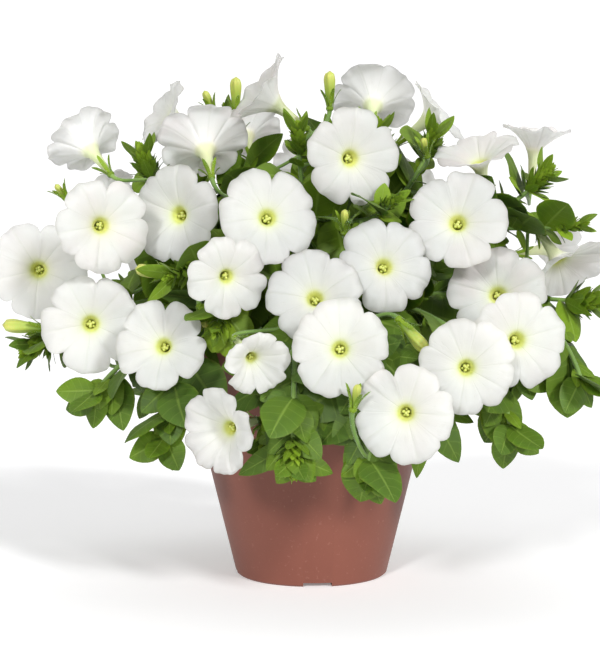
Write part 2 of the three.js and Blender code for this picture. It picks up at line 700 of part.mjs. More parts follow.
// A bloom: a narrow funnel that opens into a shallow five-lobed trumpet. Each lobe has round shoulders
// and a slight dent, and there is a notch between lobes.
function bloomSolid(bloom, number) {
  const axis = facing(bloom.faces);
  const level = squareTo(Math.abs(axis.z) > 0.9 ? new THREE.Vector3(0, -1, 0) : up, axis);
  const beside = axis.clone().cross(level);
  const throat = new THREE.Vector3(...bloom.place);
  const radius = bloom.width / 2;
  const throatRadius = radius * throatRatio;
  const cup = (1 - bloom.open) * radius;
  const onAxis = (height) => throat.clone().addScaledVector(axis, height);
  const skin = new Skin();
  const plainRing = (height, size, count) =>
    skin.ring(circle(onAxis(height), level, beside, size, evenTurns(count, bloom.notch)));
  const limbSize = throatRadius + (radius * 0.93 - throatRadius) * limbPart;
  const limbPoints = circle(onAxis(0), level, beside, limbSize, evenTurns(10, bloom.notch));
  limbPoints.forEach((point, i) => {
    const ripple = (2 * chance(number, i, 3) - 1) * limbRipple;
    const fold = i % 2 === 0 ? limbFold.valley : limbFold.ridge;
    point.addScaledVector(axis, limbHeight + cup * limbPart + ripple + fold);
  });
  const edgeTurns = [];
  const edgeRadii = [];
  const edgeHeights = [];
  for (let lobe = 0; lobe < 5; lobe++) {
    const grow = 1 + (2 * chance(number, lobe, 5) - 1) * lobePlay;
    lobeOutline.forEach(([turn, share, height], k) => {
      const ripple = (2 * chance(number, 4 * lobe + k, 7) - 1) * rimRipple;
      edgeTurns.push(bloom.notch + 72 * lobe + turn);
      edgeRadii.push(radius * share * grow);
      edgeHeights.push(rimHeight + height + cup + ripple);
    });
  }
  const edge = circle(onAxis(0), level, beside, edgeRadii, edgeTurns).map((point, i) =>
    point.addScaledVector(axis, edgeHeights[i]));
  const base = plainRing(-tubeLength, tubeBaseRadius, 5);
  const throatBack = plainRing(-throatWall, throatRadius + 0.8, 10);
  const rim = skin.ring(edge);
  const limb = skin.ring(limbPoints);
  const mouth = plainRing(0, throatRadius, 10);
  skin.startCap(base);
  const rings = [base, throatBack, rim, limb, mouth];
  for (let i = 1; i < rings.length; i++) skin.band(rings[i - 1], rings[i]);
  skin.point(mouth, skin.add(onAxis(-throatDepth)));
  return skin.solid();
}

// A leaf: a flat-topped blade with a keel below, which narrows to a point inside its shoot. Each
// station gives the part of the length, the part of the half width and the depth of the keel.
const leafShapes = {
  large: [[0.3, 0.74, leafNeckDepth], [0.67, 0.97, keelDepth]],
  small: [[0.55, 1, keelDepth]],
};

function leafStations(length) {
  return length > 25 ? leafShapes.large : leafShapes.small;
}

function leafPoint(leaf, part) {
  const drop = leaf.sag * part * part * leaf.length;
  return leaf.base
    .clone()
    .addScaledVector(leaf.along, part * leaf.length)
    .addScaledVector(leaf.face, -drop);
}

function leafHalfWidth(leaf, share) {
  return (share * leaf.length * leaf.widthRatio) / 2;
}

function leafSolid(leaf) {
  const skin = new Skin();
  const side = leaf.face.clone().cross(leaf.along);
  const root = skin.add(leaf.base.clone().addScaledVector(leaf.along, -leafRootDepth));
  let last = null;
  for (const [part, share, depth] of leafStations(leaf.length)) {
    const centre = leafPoint(leaf, part);
    const half = leafHalfWidth(leaf, share);
    const ring = skin.ring([
      centre.clone().addScaledVector(side, half),
      centre.clone().addScaledVector(side, -half),
      centre.clone().addScaledVector(leaf.face, -depth),
    ]);
    if (last) skin.band(last, ring);
    else skin.startPoint(root, ring);
    last = ring;
  }
  skin.point(last, skin.add(leafPoint(leaf, 1)));
  return skin.solid();
}

// The room that a leaf needs: its blade, a little wider and thicker, without its stalk
function leafRoom(leaf) {
  const skin = new Skin();
  const side = leaf.face.clone().cross(leaf.along);
  const [aboveBlade, belowBlade, besideBlade] = [1, 1.8, 0.7];
  let last = null;
  for (const [part, share] of [[0.2, 0.5], ...leafStations(leaf.length), [1, 0.1]]) {
    const centre = leafPoint(leaf, part);
    const half = leafHalfWidth(leaf, share) + besideBlade;
    const corner = (across, height) =>
      centre.clone().addScaledVector(side, across).addScaledVector(leaf.face, height);
    const ring = skin.ring([
      corner(half, aboveBlade),
      corner(-half, aboveBlade),
      corner(-half, -belowBlade),
      corner(half, -belowBlade),
    ]);
    if (last) skin.band(last, ring);
    else skin.startCap(ring);
    last = ring;
  }
  skin.endCap(last);
  return skin.solid();
}

// The ways that a leaf may turn or shrink until its place is free
const leafChoices = [1, 0.78].flatMap((size) =>
  [0, 38, -38, 76, -76, 125, -125, 180].map((turn) => ({ size, turn })));

// The leaf spots of a shoot, at even steps along it
function leafSpots(shoot) {
  const length = pathLength(shoot.grown);
  const spots = [];
  for (let at = shoot.firstLeaf; at < length - lastLeafFromTip; at += leafSpacing) {
    spots.push({ part: at / length, left: length - at });
  }
  return spots;
}

function leafAt(shoot, spot, count, choice) {
  const { point: base, heading } = placeOn(shoot.grown, spot.part);
  const first = squareTo(Math.abs(heading.z) > 0.9 ? new THREE.Vector3(1, 0, 0) : up, heading);
  const second = heading.clone().cross(first);
  const draw = (kind) => chance(shoot.number, count, kind);
  const turn = (goldenTurn * count + choice.turn + leafTurnPlay * draw(11)) * radians;
  const radial = first.multiplyScalar(Math.cos(turn)).addScaledVector(second, Math.sin(turn));
  const spread = between(leafSpread, draw(12)) * radians;
  const along = heading
    .clone()
    .multiplyScalar(Math.cos(spread))
    .addScaledVector(radial, Math.sin(spread));
  const outward = new THREE.Vector3(base.x, base.y, 0).normalize();
  const light = outward.multiplyScalar(0.65).addScaledVector(up, 0.8);
  const grown = between({ least: youngLeaf, most: oldLeaf }, Math.min(1, spot.left / fullGrownAt));
  return {
    base,
    along,
    face: squareTo(light, along),
    length: grown * between(leafLengthShare, draw(13)) * choice.size,
    sag: between(leafSag, draw(17)),
    widthRatio: leafWidthRatio,
  };
}

const colours = { pot: 0x9a5a48, peat: 0x3a2a20, leaf: 0x5c8f3b, petal: 0xf3f0f1 };
const materials = {
  pot: new THREE.MeshStandardMaterial({ color: colours.pot, roughness: 0.6, metalness: 0 }),
  peat: new THREE.MeshStandardMaterial({ color: colours.peat, roughness: 0.95, metalness: 0 }),
  leaf: new THREE.MeshStandardMaterial({ color: colours.leaf, roughness: 0.7, metalness: 0 }),
  petal: new THREE.MeshStandardMaterial({ color: colours.petal, roughness: 0.6, metalness: 0 }),
};

const plant = new THREE.Group();

function addNode(name, solid, material) {
  const mesh = new THREE.Mesh(geometryFromSolid(solid), material);
  mesh.name = name;
  plant.add(mesh);
}

function numbered(name, number) {
  return `${name}_${String(number).padStart(2, "0")}`;
}

const pot = makePot();
const peat = makePeat();
addNode("pot", pot, materials.pot);
addNode("peat", peat, materials.peat);
stand(pot);

blooms.forEach((bloom, i) => {
  const solid = bloomSolid(bloom, i + 1);
  addNode(numbered("bloom", i + 1), solid, materials.petal);
  stand(solid);
});

for (const stem of stems) {
  const trunk = growStem(stem);
  stem.shoots = [trunk];
  stem.pieces = [trunk.solid];
  stand(trunk.solid);
  for (const branch of stem.branches) {
    const shoot = growBranch(stem, trunk, branch);
    stem.shoots.push(shoot);
    stem.pieces.push(shoot.solid);
    stand(shoot.solid);
  }
}
stand(peat);

// Stalks and calyxes of the blooms, then the buds, keep clear of all but their own stem's shoots
function addStalk(stem, seat, axis, bud) {
  const own = new Set(stem.shoots.map(({ solid }) => solid));
  const others = standing.filter(({ solid }) => !own.has(solid));
  const stalk = growStalk(stem.shoots, seat, axis, others);
  if (!stalk) return false;
  let solid = stalkSolid(stalk);
  if (bud) solid = solid.add(budSolid(seat, axis, stalk.path[stalk.path.length - 1].across, bud.length));
  stem.pieces.push(solid);
  stand(solid);
  return true;
}

const stemNamed = new Map(stems.map((stem) => [stem.name, stem]));
blooms.forEach((bloom, i) => {
  const axis = facing(bloom.faces);
  const seat = new THREE.Vector3(...bloom.place).addScaledVector(axis, -tubeLength - seatGap);
  if (!addStalk(stemNamed.get(bloom.stem), seat, axis, null)) {
    throw new Error(`bloom ${i + 1} has no free way for its stalk`);
  }
});
buds.forEach((bud, i) => {
  const stem = stemNamed.get(bud.stem);
  if (!addStalk(stem, new THREE.Vector3(...bud.place), facing(bud.faces), bud)) {
    throw new Error(`bud ${i + 1} has no free way for its stalk`);
  }
});

// Leaves go on from the growing ends back, shoot by shoot, each where its room is free
for (const stem of stems) {
  for (const shoot of stem.shoots) {
    leafSpots(shoot).forEach((spot, count) => {
      const make = (choice) => leafAt(shoot, spot, count, choice);
      const leaf = firstClear(leafChoices, make, leafRoom);
      if (!leaf) return;
      const solid = leafSolid(leaf);
      stem.pieces.push(solid);
      stand(solid);
    });
  }
}

stems.forEach((stem, i) => {
  addNode(numbered("leafy_stem", i + 1), wasm.Manifold.union(stem.pieces), materials.leaf);
});

export default plant;
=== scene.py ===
# A petunia in full white bloom in its nursery pot: the looks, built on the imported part's frame.
# Units are metres and +Z is up. The side with the most blooms faces -Y.
import math

import bpy
import numpy as np
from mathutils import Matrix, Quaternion, Vector
from mathutils.bvhtree import BVHTree


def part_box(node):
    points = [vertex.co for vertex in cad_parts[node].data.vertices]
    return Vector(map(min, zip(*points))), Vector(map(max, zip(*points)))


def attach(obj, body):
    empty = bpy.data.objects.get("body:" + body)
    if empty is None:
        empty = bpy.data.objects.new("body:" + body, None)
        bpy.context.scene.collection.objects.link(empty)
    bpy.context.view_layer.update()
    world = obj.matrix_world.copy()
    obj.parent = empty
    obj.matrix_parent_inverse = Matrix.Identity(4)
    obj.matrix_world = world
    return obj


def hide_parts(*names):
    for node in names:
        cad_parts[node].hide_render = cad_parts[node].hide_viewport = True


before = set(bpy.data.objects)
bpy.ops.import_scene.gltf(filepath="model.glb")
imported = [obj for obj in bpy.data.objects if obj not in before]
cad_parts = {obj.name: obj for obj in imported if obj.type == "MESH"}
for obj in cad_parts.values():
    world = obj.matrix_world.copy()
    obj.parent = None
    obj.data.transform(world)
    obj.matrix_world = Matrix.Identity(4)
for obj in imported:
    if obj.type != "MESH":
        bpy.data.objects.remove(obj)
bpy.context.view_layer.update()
mm = 0.001

# The pot: one tapered nursery pot of terracotta-coloured plastic, with a low lip and four drain channels
# under its floor, each with a hole. It is injection moulded, so its skin is even and matte, a little scuffed.
pot_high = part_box("pot")[1]
rim_radius = pot_high.x
rim_height = pot_high.z
pot_sides = 112
base_radius = 52.5 * mm
base_rounding = 1.2 * mm
lip_height = 5 * mm
lip_proud = 1.8 * mm
lip_rounding = 0.8 * mm
pot_wall = 2.6 * mm
pot_floor = 6 * mm
drain_first_turn = math.radians(4)
drain_width = 19 * mm
drain_height = 2.8 * mm
drain_inner = 22 * mm
drain_hole_radius = 4 * mm
drain_hole_at = 38 * mm
drain_overshoot = 5 * mm
edge_rounding = 0.25 * mm
terracotta = (0.172, 0.053, 0.034, 1)
terracotta_light = (0.193, 0.062, 0.040, 1)


def deselect_all():
    bpy.ops.object.select_all(action="DESELECT")


def make_active(piece):
    deselect_all()
    piece.select_set(True)
    bpy.context.view_layer.objects.active = piece


def edit_all():
    """Opens the active piece for modelling, with all of it selected."""
    bpy.ops.object.mode_set(mode="EDIT")
    bpy.ops.mesh.select_all(action="SELECT")


def end_edit():
    bpy.ops.object.mode_set(mode="OBJECT")


def wall_radius(height):
    """The radius of the pot's outer wall under its lip."""
    top = rim_height - lip_height
    return base_radius + (rim_radius - lip_proud - base_radius) * height / top


def finish_piece(piece, name, finish, slot, *stands_for):
    """Names a piece, gives it its material, puts it on the part's body and hides the nodes of the frame that
    it stands for.
    """
    piece.name = name
    piece.data.name = name
    piece.data.materials.append(finish.material)
    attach(piece, "root")
    if stands_for:
        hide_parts(*stands_for)


class Finish:
    """A new material with its even values set, and the ways to add nodes to it."""

    def __init__(self, name, **values):
        self.material = bpy.data.materials.new(name)
        self.material.use_nodes = True
        self.tree = self.material.node_tree
        for socket, value in values.items():
            self.give(socket.replace("_", " "), value)

    def connect(self, node, socket, value):
        if isinstance(value, bpy.types.NodeSocket):
            self.tree.links.new(value, node.inputs[socket])
        else:
            node.inputs[socket].default_value = value

    def give(self, socket, value):
        """Gives the shader a value or a link."""
        self.connect(self.tree.nodes["Principled BSDF"], socket, value)

    def add(self, kind, inputs, **settings):
        node = self.tree.nodes.new("ShaderNode" + kind)
        for key, value in settings.items():
            setattr(node, key, value)
        for socket, value in inputs.items():
            self.connect(node, socket, value)
        return node

    def ramp(self, value, stops):
        """A colour ramp whose stops are given as (place, colour)."""
        ramp = self.add("ValToRGB", {"Fac": value})
        elements = ramp.color_ramp.elements
        while len(elements) < len(stops):
            elements.new(0.5)
        for element, (place, colour) in zip(elements, stops):
            element.position = place
            element.color = colour
        return ramp.outputs["Color"]

    def blend(self, share, first, second, kind="MIX"):
        """One colour mixed with another."""
        inputs = {"Factor": share, 6: first, 7: second}
        return self.add("Mix", inputs, data_type="RGBA", blend_type=kind).outputs[2]

    def math(self, operation, first, second=0.0, third=0.0):
        return self.add("Math", {0: first, 1: second, 2: third}, operation=operation).outputs[0]

    def times(self, first, second):
        return self.math("MULTIPLY", first, second)

    def stretch(self, value, low, high, new_low=0.0, new_high=1.0):
        """A value whose range from low to high is stretched to a new one."""
        inputs = {"Value": value, "From Min": low, "From Max": high, "To Min": new_low, "To Max": new_high}
        return self.add("MapRange", inputs).outputs[0]

    def place(self):
        node = self.tree.nodes.get("Texture Coordinate") or self.add("TexCoord", {})
        return node.outputs["Object"]

    def noise(self, scale, detail, place=None):
        inputs = {"Vector": place or self.place(), "Scale": scale, "Detail": detail}
        return self.add("TexNoise", inputs).outputs["Fac"]

    def relief(self, strength, depth, height):
        """Gives the surface its fine relief, of a depth in millimetres."""
        bump = self.add("Bump", {"Strength": strength, "Distance": depth * mm, "Height": height})
        self.give("Normal", bump.outputs["Normal"])

    def chart(self):
        """The place on a model, across it and along it, from 0 to 1."""
        chart = self.add("UVMap", {}, uv_map="UVMap").outputs["UV"]
        parts = self.add("SeparateXYZ", {"Vector": chart}).outputs
        return parts["X"], parts["Y"]

    def tone(self):
        """The tone that each copy of a model was given."""
        return self.add("Attribute", {}, attribute_name="tone").outputs["Fac"]


def turn_pot():
    profile = [
        (wall_radius(base_rounding), base_rounding),
        (wall_radius(0.3 * rim_height), 0.3 * rim_height),
        (wall_radius(0.65 * rim_height), 0.65 * rim_height),
        (wall_radius(rim_height - lip_height), rim_height - lip_height),
        (rim_radius - 0.3 * mm, rim_height - lip_height + 0.1 * mm),
        (rim_radius, rim_height - lip_height + lip_rounding),
        (rim_radius, rim_height - lip_rounding),
        (rim_radius - 0.25 * mm, rim_height - 0.25 * mm),
        (rim_radius - lip_rounding, rim_height),
        (rim_radius - lip_proud - pot_wall, rim_height),
        (wall_radius(pot_floor) - pot_wall, pot_floor),
        (drain_inner, pot_floor),
    ]
    radius = base_radius - base_rounding
    height = 0
    bpy.ops.mesh.primitive_circle_add(vertices=pot_sides, radius=radius, fill_type="NGON")
    edit_all()
    for next_radius, next_height in profile:
        step = (0, 0, next_height - height)
        bpy.ops.mesh.extrude_region_move(TRANSFORM_OT_translate={"value": step})
        ratio = next_radius / radius
        bpy.ops.transform.resize(value=(ratio, ratio, 1), center_override=(0, 0, next_height))
        radius, height = next_radius, next_height
    bpy.ops.mesh.select_all(action="SELECT")
    bpy.ops.mesh.normals_make_consistent(inside=False)
    end_edit()
    return bpy.context.object


def cut_away(piece, cutter):
    """Cuts one solid out of a piece, and removes the cutter."""
    cut = piece.modifiers.new("cut", "BOOLEAN")
    cut.object = cutter
    cut.solver = "EXACT"
    make_active(piece)
    bpy.ops.object.modifier_apply(modifier="cut")
    bpy.data.objects.remove(cutter)


def cut_drains(pot):
    length = base_radius + drain_overshoot - drain_inner
    channel_size = (drain_width, length, 2 * drain_height)
    for i in range(4):
        turn = drain_first_turn + i * math.pi / 2
        out = Vector((math.sin(turn), -math.cos(turn), 0))
        middle = out * (drain_inner + length / 2)
        bpy.ops.mesh.primitive_cube_add(size=1, location=middle, rotation=(0, 0, turn), scale=channel_size)
        cut_away(pot, bpy.context.object)
        bpy.ops.mesh.primitive_cylinder_add(
            vertices=24, radius=drain_hole_radius, depth=3 * pot_floor, location=out * drain_hole_at
        )
        cut_away(pot, bpy.context.object)


def pot_finish():
    finish = Finish("pot_plastic", Roughness=0.5, Specular_IOR_Level=0.4)
    place = finish.place()
    mottle = finish.noise(22.0, 3.0)
    flow = finish.add("Mapping", {"Vector": place, "Scale": (90.0, 90.0, 6.0)}).outputs["Vector"]
    streaks = finish.noise(1.0, 2.0, flow)
    scuffs = finish.noise(420.0, 4.0)
    shade = finish.ramp(mottle, [(0.3, terracotta), (0.7, terracotta_light)])
    shade = finish.blend(finish.times(streaks, 0.18), shade, terracotta)
    worn = finish.stretch(scuffs, 0.62, 0.8, 0.0, 0.25)
    finish.give("Base Color", finish.blend(worn, shade, (0.45, 0.24, 0.19, 1)))
    grain = finish.noise(1500.0, 2.0)
    relief = finish.math("ADD", finish.times(mottle, 0.6), grain)
    finish.relief(0.16, 0.12, relief)
    finish.give("Roughness", finish.stretch(scuffs, 0.0, 1.0, 0.42, 0.58))
    return finish


pot = turn_pot()
cut_drains(pot)
edges = pot.modifiers.new("edges", "BEVEL")
edges.width = edge_rounding
edges.segments = 2
edges.limit_method = "ANGLE"
edges.angle_limit = math.radians(50)
make_active(pot)
bpy.ops.object.modifier_apply(modifier="edges")
bpy.ops.object.shade_smooth_by_angle(angle=math.radians(32))
finish_piece(pot, "plastic_pot", pot_finish(), "pot_plastic", "pot")

# The peat: dark, crumbly potting peat that fills the pot to a little below its rim. White perlite grains
# lie in it. It was pressed down round the young plant by hand, so its top is low mounds.
peat_low, peat_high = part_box("peat")
peat_radius = peat_high.x
peat_edge_height = 151 * mm
peat_middle_height = 156 * mm
peat_rings = (80, 71, 61, 50, 38, 26, 14, 5)
perlite_count = 130
perlite_radius = 1.7 * mm
chance = np.random.default_rng(7)


def heap_peat():
    middle = (0, 0, peat_edge_height)
    bpy.ops.mesh.primitive_circle_add(vertices=96, radius=peat_radius, location=middle, fill_type="NGON")
    heap = bpy.context.object
    edit_all()
    rings = [peat_radius] + [radius * mm for radius in peat_rings]
    for outer, inner in zip(rings, rings[1:]):
        bpy.ops.mesh.inset(thickness=outer - inner, depth=0)
    bpy.ops.mesh.poke()
    end_edit()
    for point in heap.data.vertices:
        out = math.hypot(point.co.x, point.co.y) / peat_radius
        point.co.z += (peat_middle_height - peat_edge_height) * (1 - out * out)
    bpy.ops.object.transform_apply(location=True, rotation=True, scale=True)
    bpy.ops.object.mode_set(mode="EDIT")
    bpy.ops.mesh.select_all(action="DESELECT")
    bpy.ops.mesh.select_mode(type="EDGE")
    bpy.ops.mesh.select_non_manifold()
    foot_radius = wall_radius(pot_floor) - pot_wall - 0.3 * mm
    drop = (0, 0, peat_low.z - peat_edge_height)
    bpy.ops.mesh.extrude_region_move(TRANSFORM_OT_translate={"value": drop})
    ratio = foot_radius / peat_radius
    bpy.ops.transform.resize(value=(ratio, ratio, 1), center_override=(0, 0, peat_low.z))
    bpy.ops.mesh.edge_face_add()
    bpy.ops.mesh.select_all(action="SELECT")
    bpy.ops.mesh.normals_make_consistent(inside=False)
    bpy.ops.mesh.select_mode(type="FACE")
    bpy.ops.mesh.select_all(action="DESELECT")
    end_edit()
    for face in heap.data.polygons:
        face.select = face.normal.z > 0.6
    bpy.ops.object.mode_set(mode="EDIT")
    bpy.ops.mesh.subdivide(number_cuts=1)
    end_edit()
    return heap


def crumble(heap):
    """Roughens the top of the peat with crumbs of two sizes."""
    inner = peat_radius - 3 * mm
    top = [
        point.index
        for point in heap.data.vertices
        if point.co.z > peat_edge_height + 0.1 * mm and math.hypot(point.co.x, point.co.y) < inner
    ]
    heap.vertex_groups.new(name="top").add(top, 1, "REPLACE")
    for scale, height in ((14 * mm, 2.6 * mm), (4 * mm, 1.4 * mm)):
        crumbs = bpy.data.textures.new("crumbs", "CLOUDS")
        crumbs.noise_scale = scale
        crumbs.noise_depth = 3
        rough = heap.modifiers.new("rough", "DISPLACE")
        rough.texture = crumbs
        rough.texture_coords = "LOCAL"
        rough.direction = "Z"
        rough.strength = height
        rough.vertex_group = "top"
        bpy.ops.object.modifier_apply(modifier="rough")
    heap.vertex_groups.clear()


def peat_finish():
    finish = Finish("peat", Roughness=0.95, Specular_IOR_Level=0.15)
    place = finish.place()
    crumbs = finish.add("TexVoronoi", {"Vector": place, "Scale": 420.0}).outputs["Distance"]
    clouds = finish.noise(90.0, 6.0)
    shade = finish.ramp(clouds, [(0.3, (0.018, 0.011, 0.007, 1)), (0.72, (0.085, 0.052, 0.032, 1))])
    fibres = finish.ramp(crumbs, [(0.05, (0.14, 0.09, 0.055, 1)), (0.5, (0.02, 0.013, 0.009, 1))])
    finish.give("Base Color", finish.blend(0.4, shade, fibres))
    finish.relief(0.9, 1.2, crumbs)
    return finish


def fused_copies(model, copies):
    """A mesh of many copies of one modelled piece. Each copy is given as a function that places the
    model's points, and a tone from 0 to 1 that its material reads."""
    count = len(model.data.vertices)
    points = np.empty(count * 3)
    model.data.vertices.foreach_get("co", points)
    points = points.reshape(count, 3)
    faces = [tuple(face.vertices) for face in model.data.polygons]
    map_points = np.empty(len(model.data.loops) * 2)
    model.data.uv_layers.active.data.foreach_get("uv", map_points)
    placed = [place(points) for place, tone in copies]
    all_faces = [tuple(corner + count * i for corner in face) for i in range(len(copies)) for face in faces]
    mesh = bpy.data.meshes.new("copies")
    mesh.from_pydata(np.concatenate(placed).tolist(), [], all_faces)
    mesh.uv_layers.new(name="UVMap").data.foreach_set("uv", np.tile(map_points, len(copies)))
    tones = mesh.attributes.new("tone", "FLOAT", "POINT")
    tones.data.foreach_set("value", np.repeat([tone for place, tone in copies], count))
    mesh.shade_smooth()
    mesh.set_sharp_from_angle(angle=math.radians(75))
    piece = bpy.data.objects.new("copies", mesh)
    bpy.context.scene.collection.objects.link(piece)
    return piece


def scatter_perlite(heap):
    bpy.ops.mesh.primitive_ico_sphere_add(subdivisions=1, radius=1, calc_uvs=True)
    grain = bpy.context.object
    edit_all()
    bpy.ops.transform.vertex_random(offset=0.22, seed=3)
    end_edit()
    copies = []
    for i in range(perlite_count):
        turn = chance.uniform(0, 2 * math.pi)
        out = (peat_radius - 6 * mm) * math.sqrt(chance.uniform())
        above = Vector((out * math.cos(turn), out * math.sin(turn), rim_height))
        middle = np.array(heap.ray_cast(above, Vector((0, 0, -1)))[1])
        size = perlite_radius * chance.uniform(0.4, 1.0)
        copies.append((lambda points, size=size, middle=middle: middle + points * size, 0.5))
    perlite = fused_copies(grain, copies)
    bpy.data.objects.remove(grain)
    return perlite


def perlite_finish():
    finish = Finish("perlite", Roughness=0.85)
    dust = finish.noise(260.0, 4.0)
    finish.give("Base Color", finish.ramp(dust, [(0.35, (0.45, 0.4, 0.33, 1)), (0.6, (0.8, 0.78, 0.73, 1))]))
    finish.relief(0.6, 0.3, dust)
    return finish


peat = heap_peat()
crumble(peat)
bpy.ops.object.shade_smooth()
finish_piece(peat, "potting_peat", peat_finish(), "peat", "peat")
finish_piece(scatter_perlite(peat), "perlite", perlite_finish(), "peat")

# The stems: sixteen soft green stems that rise from the peat and bend outwards, with their side shoots.
# They grew towards the light, so each one is a smooth tapering curve that ends in a crown of leaves.
stem_foot_height = 138
stem_collar_height = 160
stem_radii = (2.1, 1.4)
shoot_radii = (1.7, 1.4)
stalk_radius = 1.2
# Each stem: its foot, its straight rise, its tip, the way back from the tip, and its side shoots,
# each with its place along the stem, its tip and the way back from it, all in millimetres
stem_ways = [
    ((-14, 0), 70, (-114, -20, 284), (12, 4, -55), [(0.55, (-140, 18, 245), (30, -5, -20))]),
    ((-7, 9), 80, (-62, 26, 322), (8, -2, -60), [(0.6, (-88, 30, 285), (12, -5, -25))]),
    ((2, -9), 70, (-9, -48, 296), (2, 8, -50), [(0.55, (50, -78, 250), (-16, 20, -24))]),
    ((9, 6), 80, (80, -32, 296), (-14, 8, -55), [(0.6, (45, -30, 300), (-4, 6, -30))]),
    ((17, -4), 60, (152, -38, 270), (-30, 8, -40), [(0.6, (172, -52, 238), (-35, 12, -4))]),
    ((27, -6), 50, (178, -52, 188), (-45, 14, 22), [(0.6, (168, -84, 140), (-12, 8, 40))]),
    ((20, -20), 52, (120, -103, 112), (-6, 4, 70), [(0.55, (132, -78, 150), (-22, 12, 24))]),
    ((7, -27), 60, (32, -143, 88), (-2, 2, 95), [(0.6, (66, -118, 128), (-12, 10, 42))]),
    ((-6, -27), 58, (-12, -144, 96), (0, 3, 88), [(0.6, (-28, -121, 104), (4, 8, 48))]),
    ((-9, -11), 60, (-58, -104, 172), (12, 26, 48), [(0.5, (-84, -86, 204), (20, 22, 12))]),
    ((-22, -17), 50, (-92, -92, 104), (5, 4, 84), [(0.55, (-136, -76, 132), (24, 10, 34))]),
    ((-28, -2), 50, (-184, -34, 160), (52, 4, 36), [(0.6, (-158, 14, 178), (24, -6, 20))]),
    ((-20, 19), 60, (-152, 96, 200), (48, -28, 24),
     [(0.6, (-128, 118, 124), (10, -14, 48)), (0.5, (-112, 82, 262), (26, -18, -22))]),
    ((2, 28), 60, (-12, 152, 104), (2, -4, 92),
     [(0.6, (-62, 138, 150), (14, -24, 34)), (0.62, (48, 142, 128), (-10, -16, 46))]),
    ((22, 17), 60, (156, 92, 196), (-48, -26, 26),
     [(0.6, (126, 120, 124), (-10, -14, 48)), (0.5, (118, 76, 262), (-28, -16, -20))]),
    ((2, 18), 80, (18, 92, 316), (-2, -22, -55),
     [(0.55, (-42, 118, 262), (10, -22, -20)), (0.6, (62, 112, 246), (-14, -26, 0))]),
]
# The sideways and upward swings that a shoot may have taken to keep clear of the others
swings = [
    (0, 0), (9, 0), (-9, 0), (0, 10), (0, -10), (16, 0), (-16, 0), (12, 10), (-12, 10), (0, 20),
    (12, -10), (-12, -10), (24, 0), (-24, 0), (0, -20), (20, 14), (-20, 14), (20, -14), (-20, -14),
    (34, 8), (-34, 8), (0, 34),
]
up = Vector((0, 0, 1))


def square_to(axis, way):
    """A way turned square to an axis."""
    return (way - axis * way.dot(axis)).normalized()


def turned_to(axis):
    """The turn that points a model's z along an axis, for rows of points."""
    return np.array(axis.to_track_quat("Z", "Y").to_matrix()).T


def solid_tree(node):
    """A solid of the frame as a tree in which its nearest point is found."""
    faces = [face.vertices for face in node.data.polygons]
    return BVHTree.FromPolygons([point.co for point in node.data.vertices], faces)


def bend_point(way, part):
    """The point at a part of a bend that is given by its ends and handles."""
    start, first, second, end = way
    left = 1 - part
    return (start * left**3 + first * (3 * left * left * part) + second * (3 * left * part * part)
            + end * part**3)


def swung(handle, start, end, swing):
    way = end - start
    return handle + Vector((-way.y, way.x, 0)).normalized() * swing[0] + up * swing[1]


def step_lengths(steps):
    return [(end - start).length for start, end in zip(steps, steps[1:])]


def place_on(steps, part):
    """The point and the heading at a part of the length of a row of straight steps."""
    lengths = step_lengths(steps)
    left = part * sum(lengths)
    i = 0
    while i < len(lengths) - 1 and left > lengths[i]:
        left -= lengths[i]
        i += 1
    heading = (steps[i + 1] - steps[i]).normalized()
    return steps[i] + heading * left, heading


def side_steps(way, parts):
    """The steps of a side growth, whose first point is drawn back into what it grows from."""
    steps = [bend_point(way, part) for part in parts]
    steps[0] = steps[0] - (steps[1] - steps[0]).normalized()
    return steps


def misfit(skin, points, radius):
    """How far points are from the middle of a three-sided tube, whose skin is half its radius away."""
    total = 0
    for point in points:
        distance = skin.find_nearest(point * mm)[3] / mm
        total += min(abs(distance - radius / 2), 3)
    return total


def grow_shoot(skin, start, first, second, end, parts, radii, drawn_back):
    """A shoot takes the swing that its solid in the frame took."""
    ways = [(start, first, swung(second, start, end, swing), end) for swing in swings]
    middle = sum(radii) / 2
    way = min(ways, key=lambda way: misfit(skin, [bend_point(way, part) for part in parts[2:-1]], middle))
    steps = side_steps(way, parts) if drawn_back else [bend_point(way, part) for part in parts]
    return {"way": way, "steps": steps, "radii": radii}


def grow_stem(number, foot, rise, tip, back, sides):
    node = f"leafy_stem_{number:02d}"
    skin = solid_tree(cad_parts[node])
    collar = Vector((*foot, stem_collar_height))
    tip = Vector(tip)
    even = [i / 7 for i in range(8)]
    trunk = grow_shoot(skin, collar, collar + up * rise, tip + Vector(back), tip, even, stem_radii, False)
    shoots = [trunk]
    for place, side_tip, side_back in sides:
        start, heading = place_on(trunk["steps"], place)
        end = Vector(side_tip)
        first = start + heading * 0.3 * (end - start).length
        parts = (0, 0.14, 0.4, 0.7, 1)
        second = end + Vector(side_back)
        shoots.append(grow_shoot(skin, start, first, second, end, parts, shoot_radii, True))
    return {"number": number, "node": node, "skin": skin, "shoots": shoots, "stalks": [], "foot": foot}


def stem_lines(stem):
    """The smooth lines of a stem with their radii: its shoots, then its flower stalks."""
    lines = []
    for i, shoot in enumerate(stem["shoots"]):
        points = [bend_point(shoot["way"], part / 20) for part in range(21)]
        if i == 0:
            points.insert(0, Vector((*stem["foot"], stem_foot_height)))
        thick, thin = shoot["radii"]
        radii = [thick + (thin - thick) * k / (len(points) - 1) for k in range(len(points))]
        lines.append((points, radii))
    for stalk in stem["stalks"]:
        points = [bend_point(stalk["way"], part / 12) for part in range(13)]
        lines.append((points, [stalk_radius + 0.5 * (part / 12) ** 8 for part in range(13)]))
    return lines


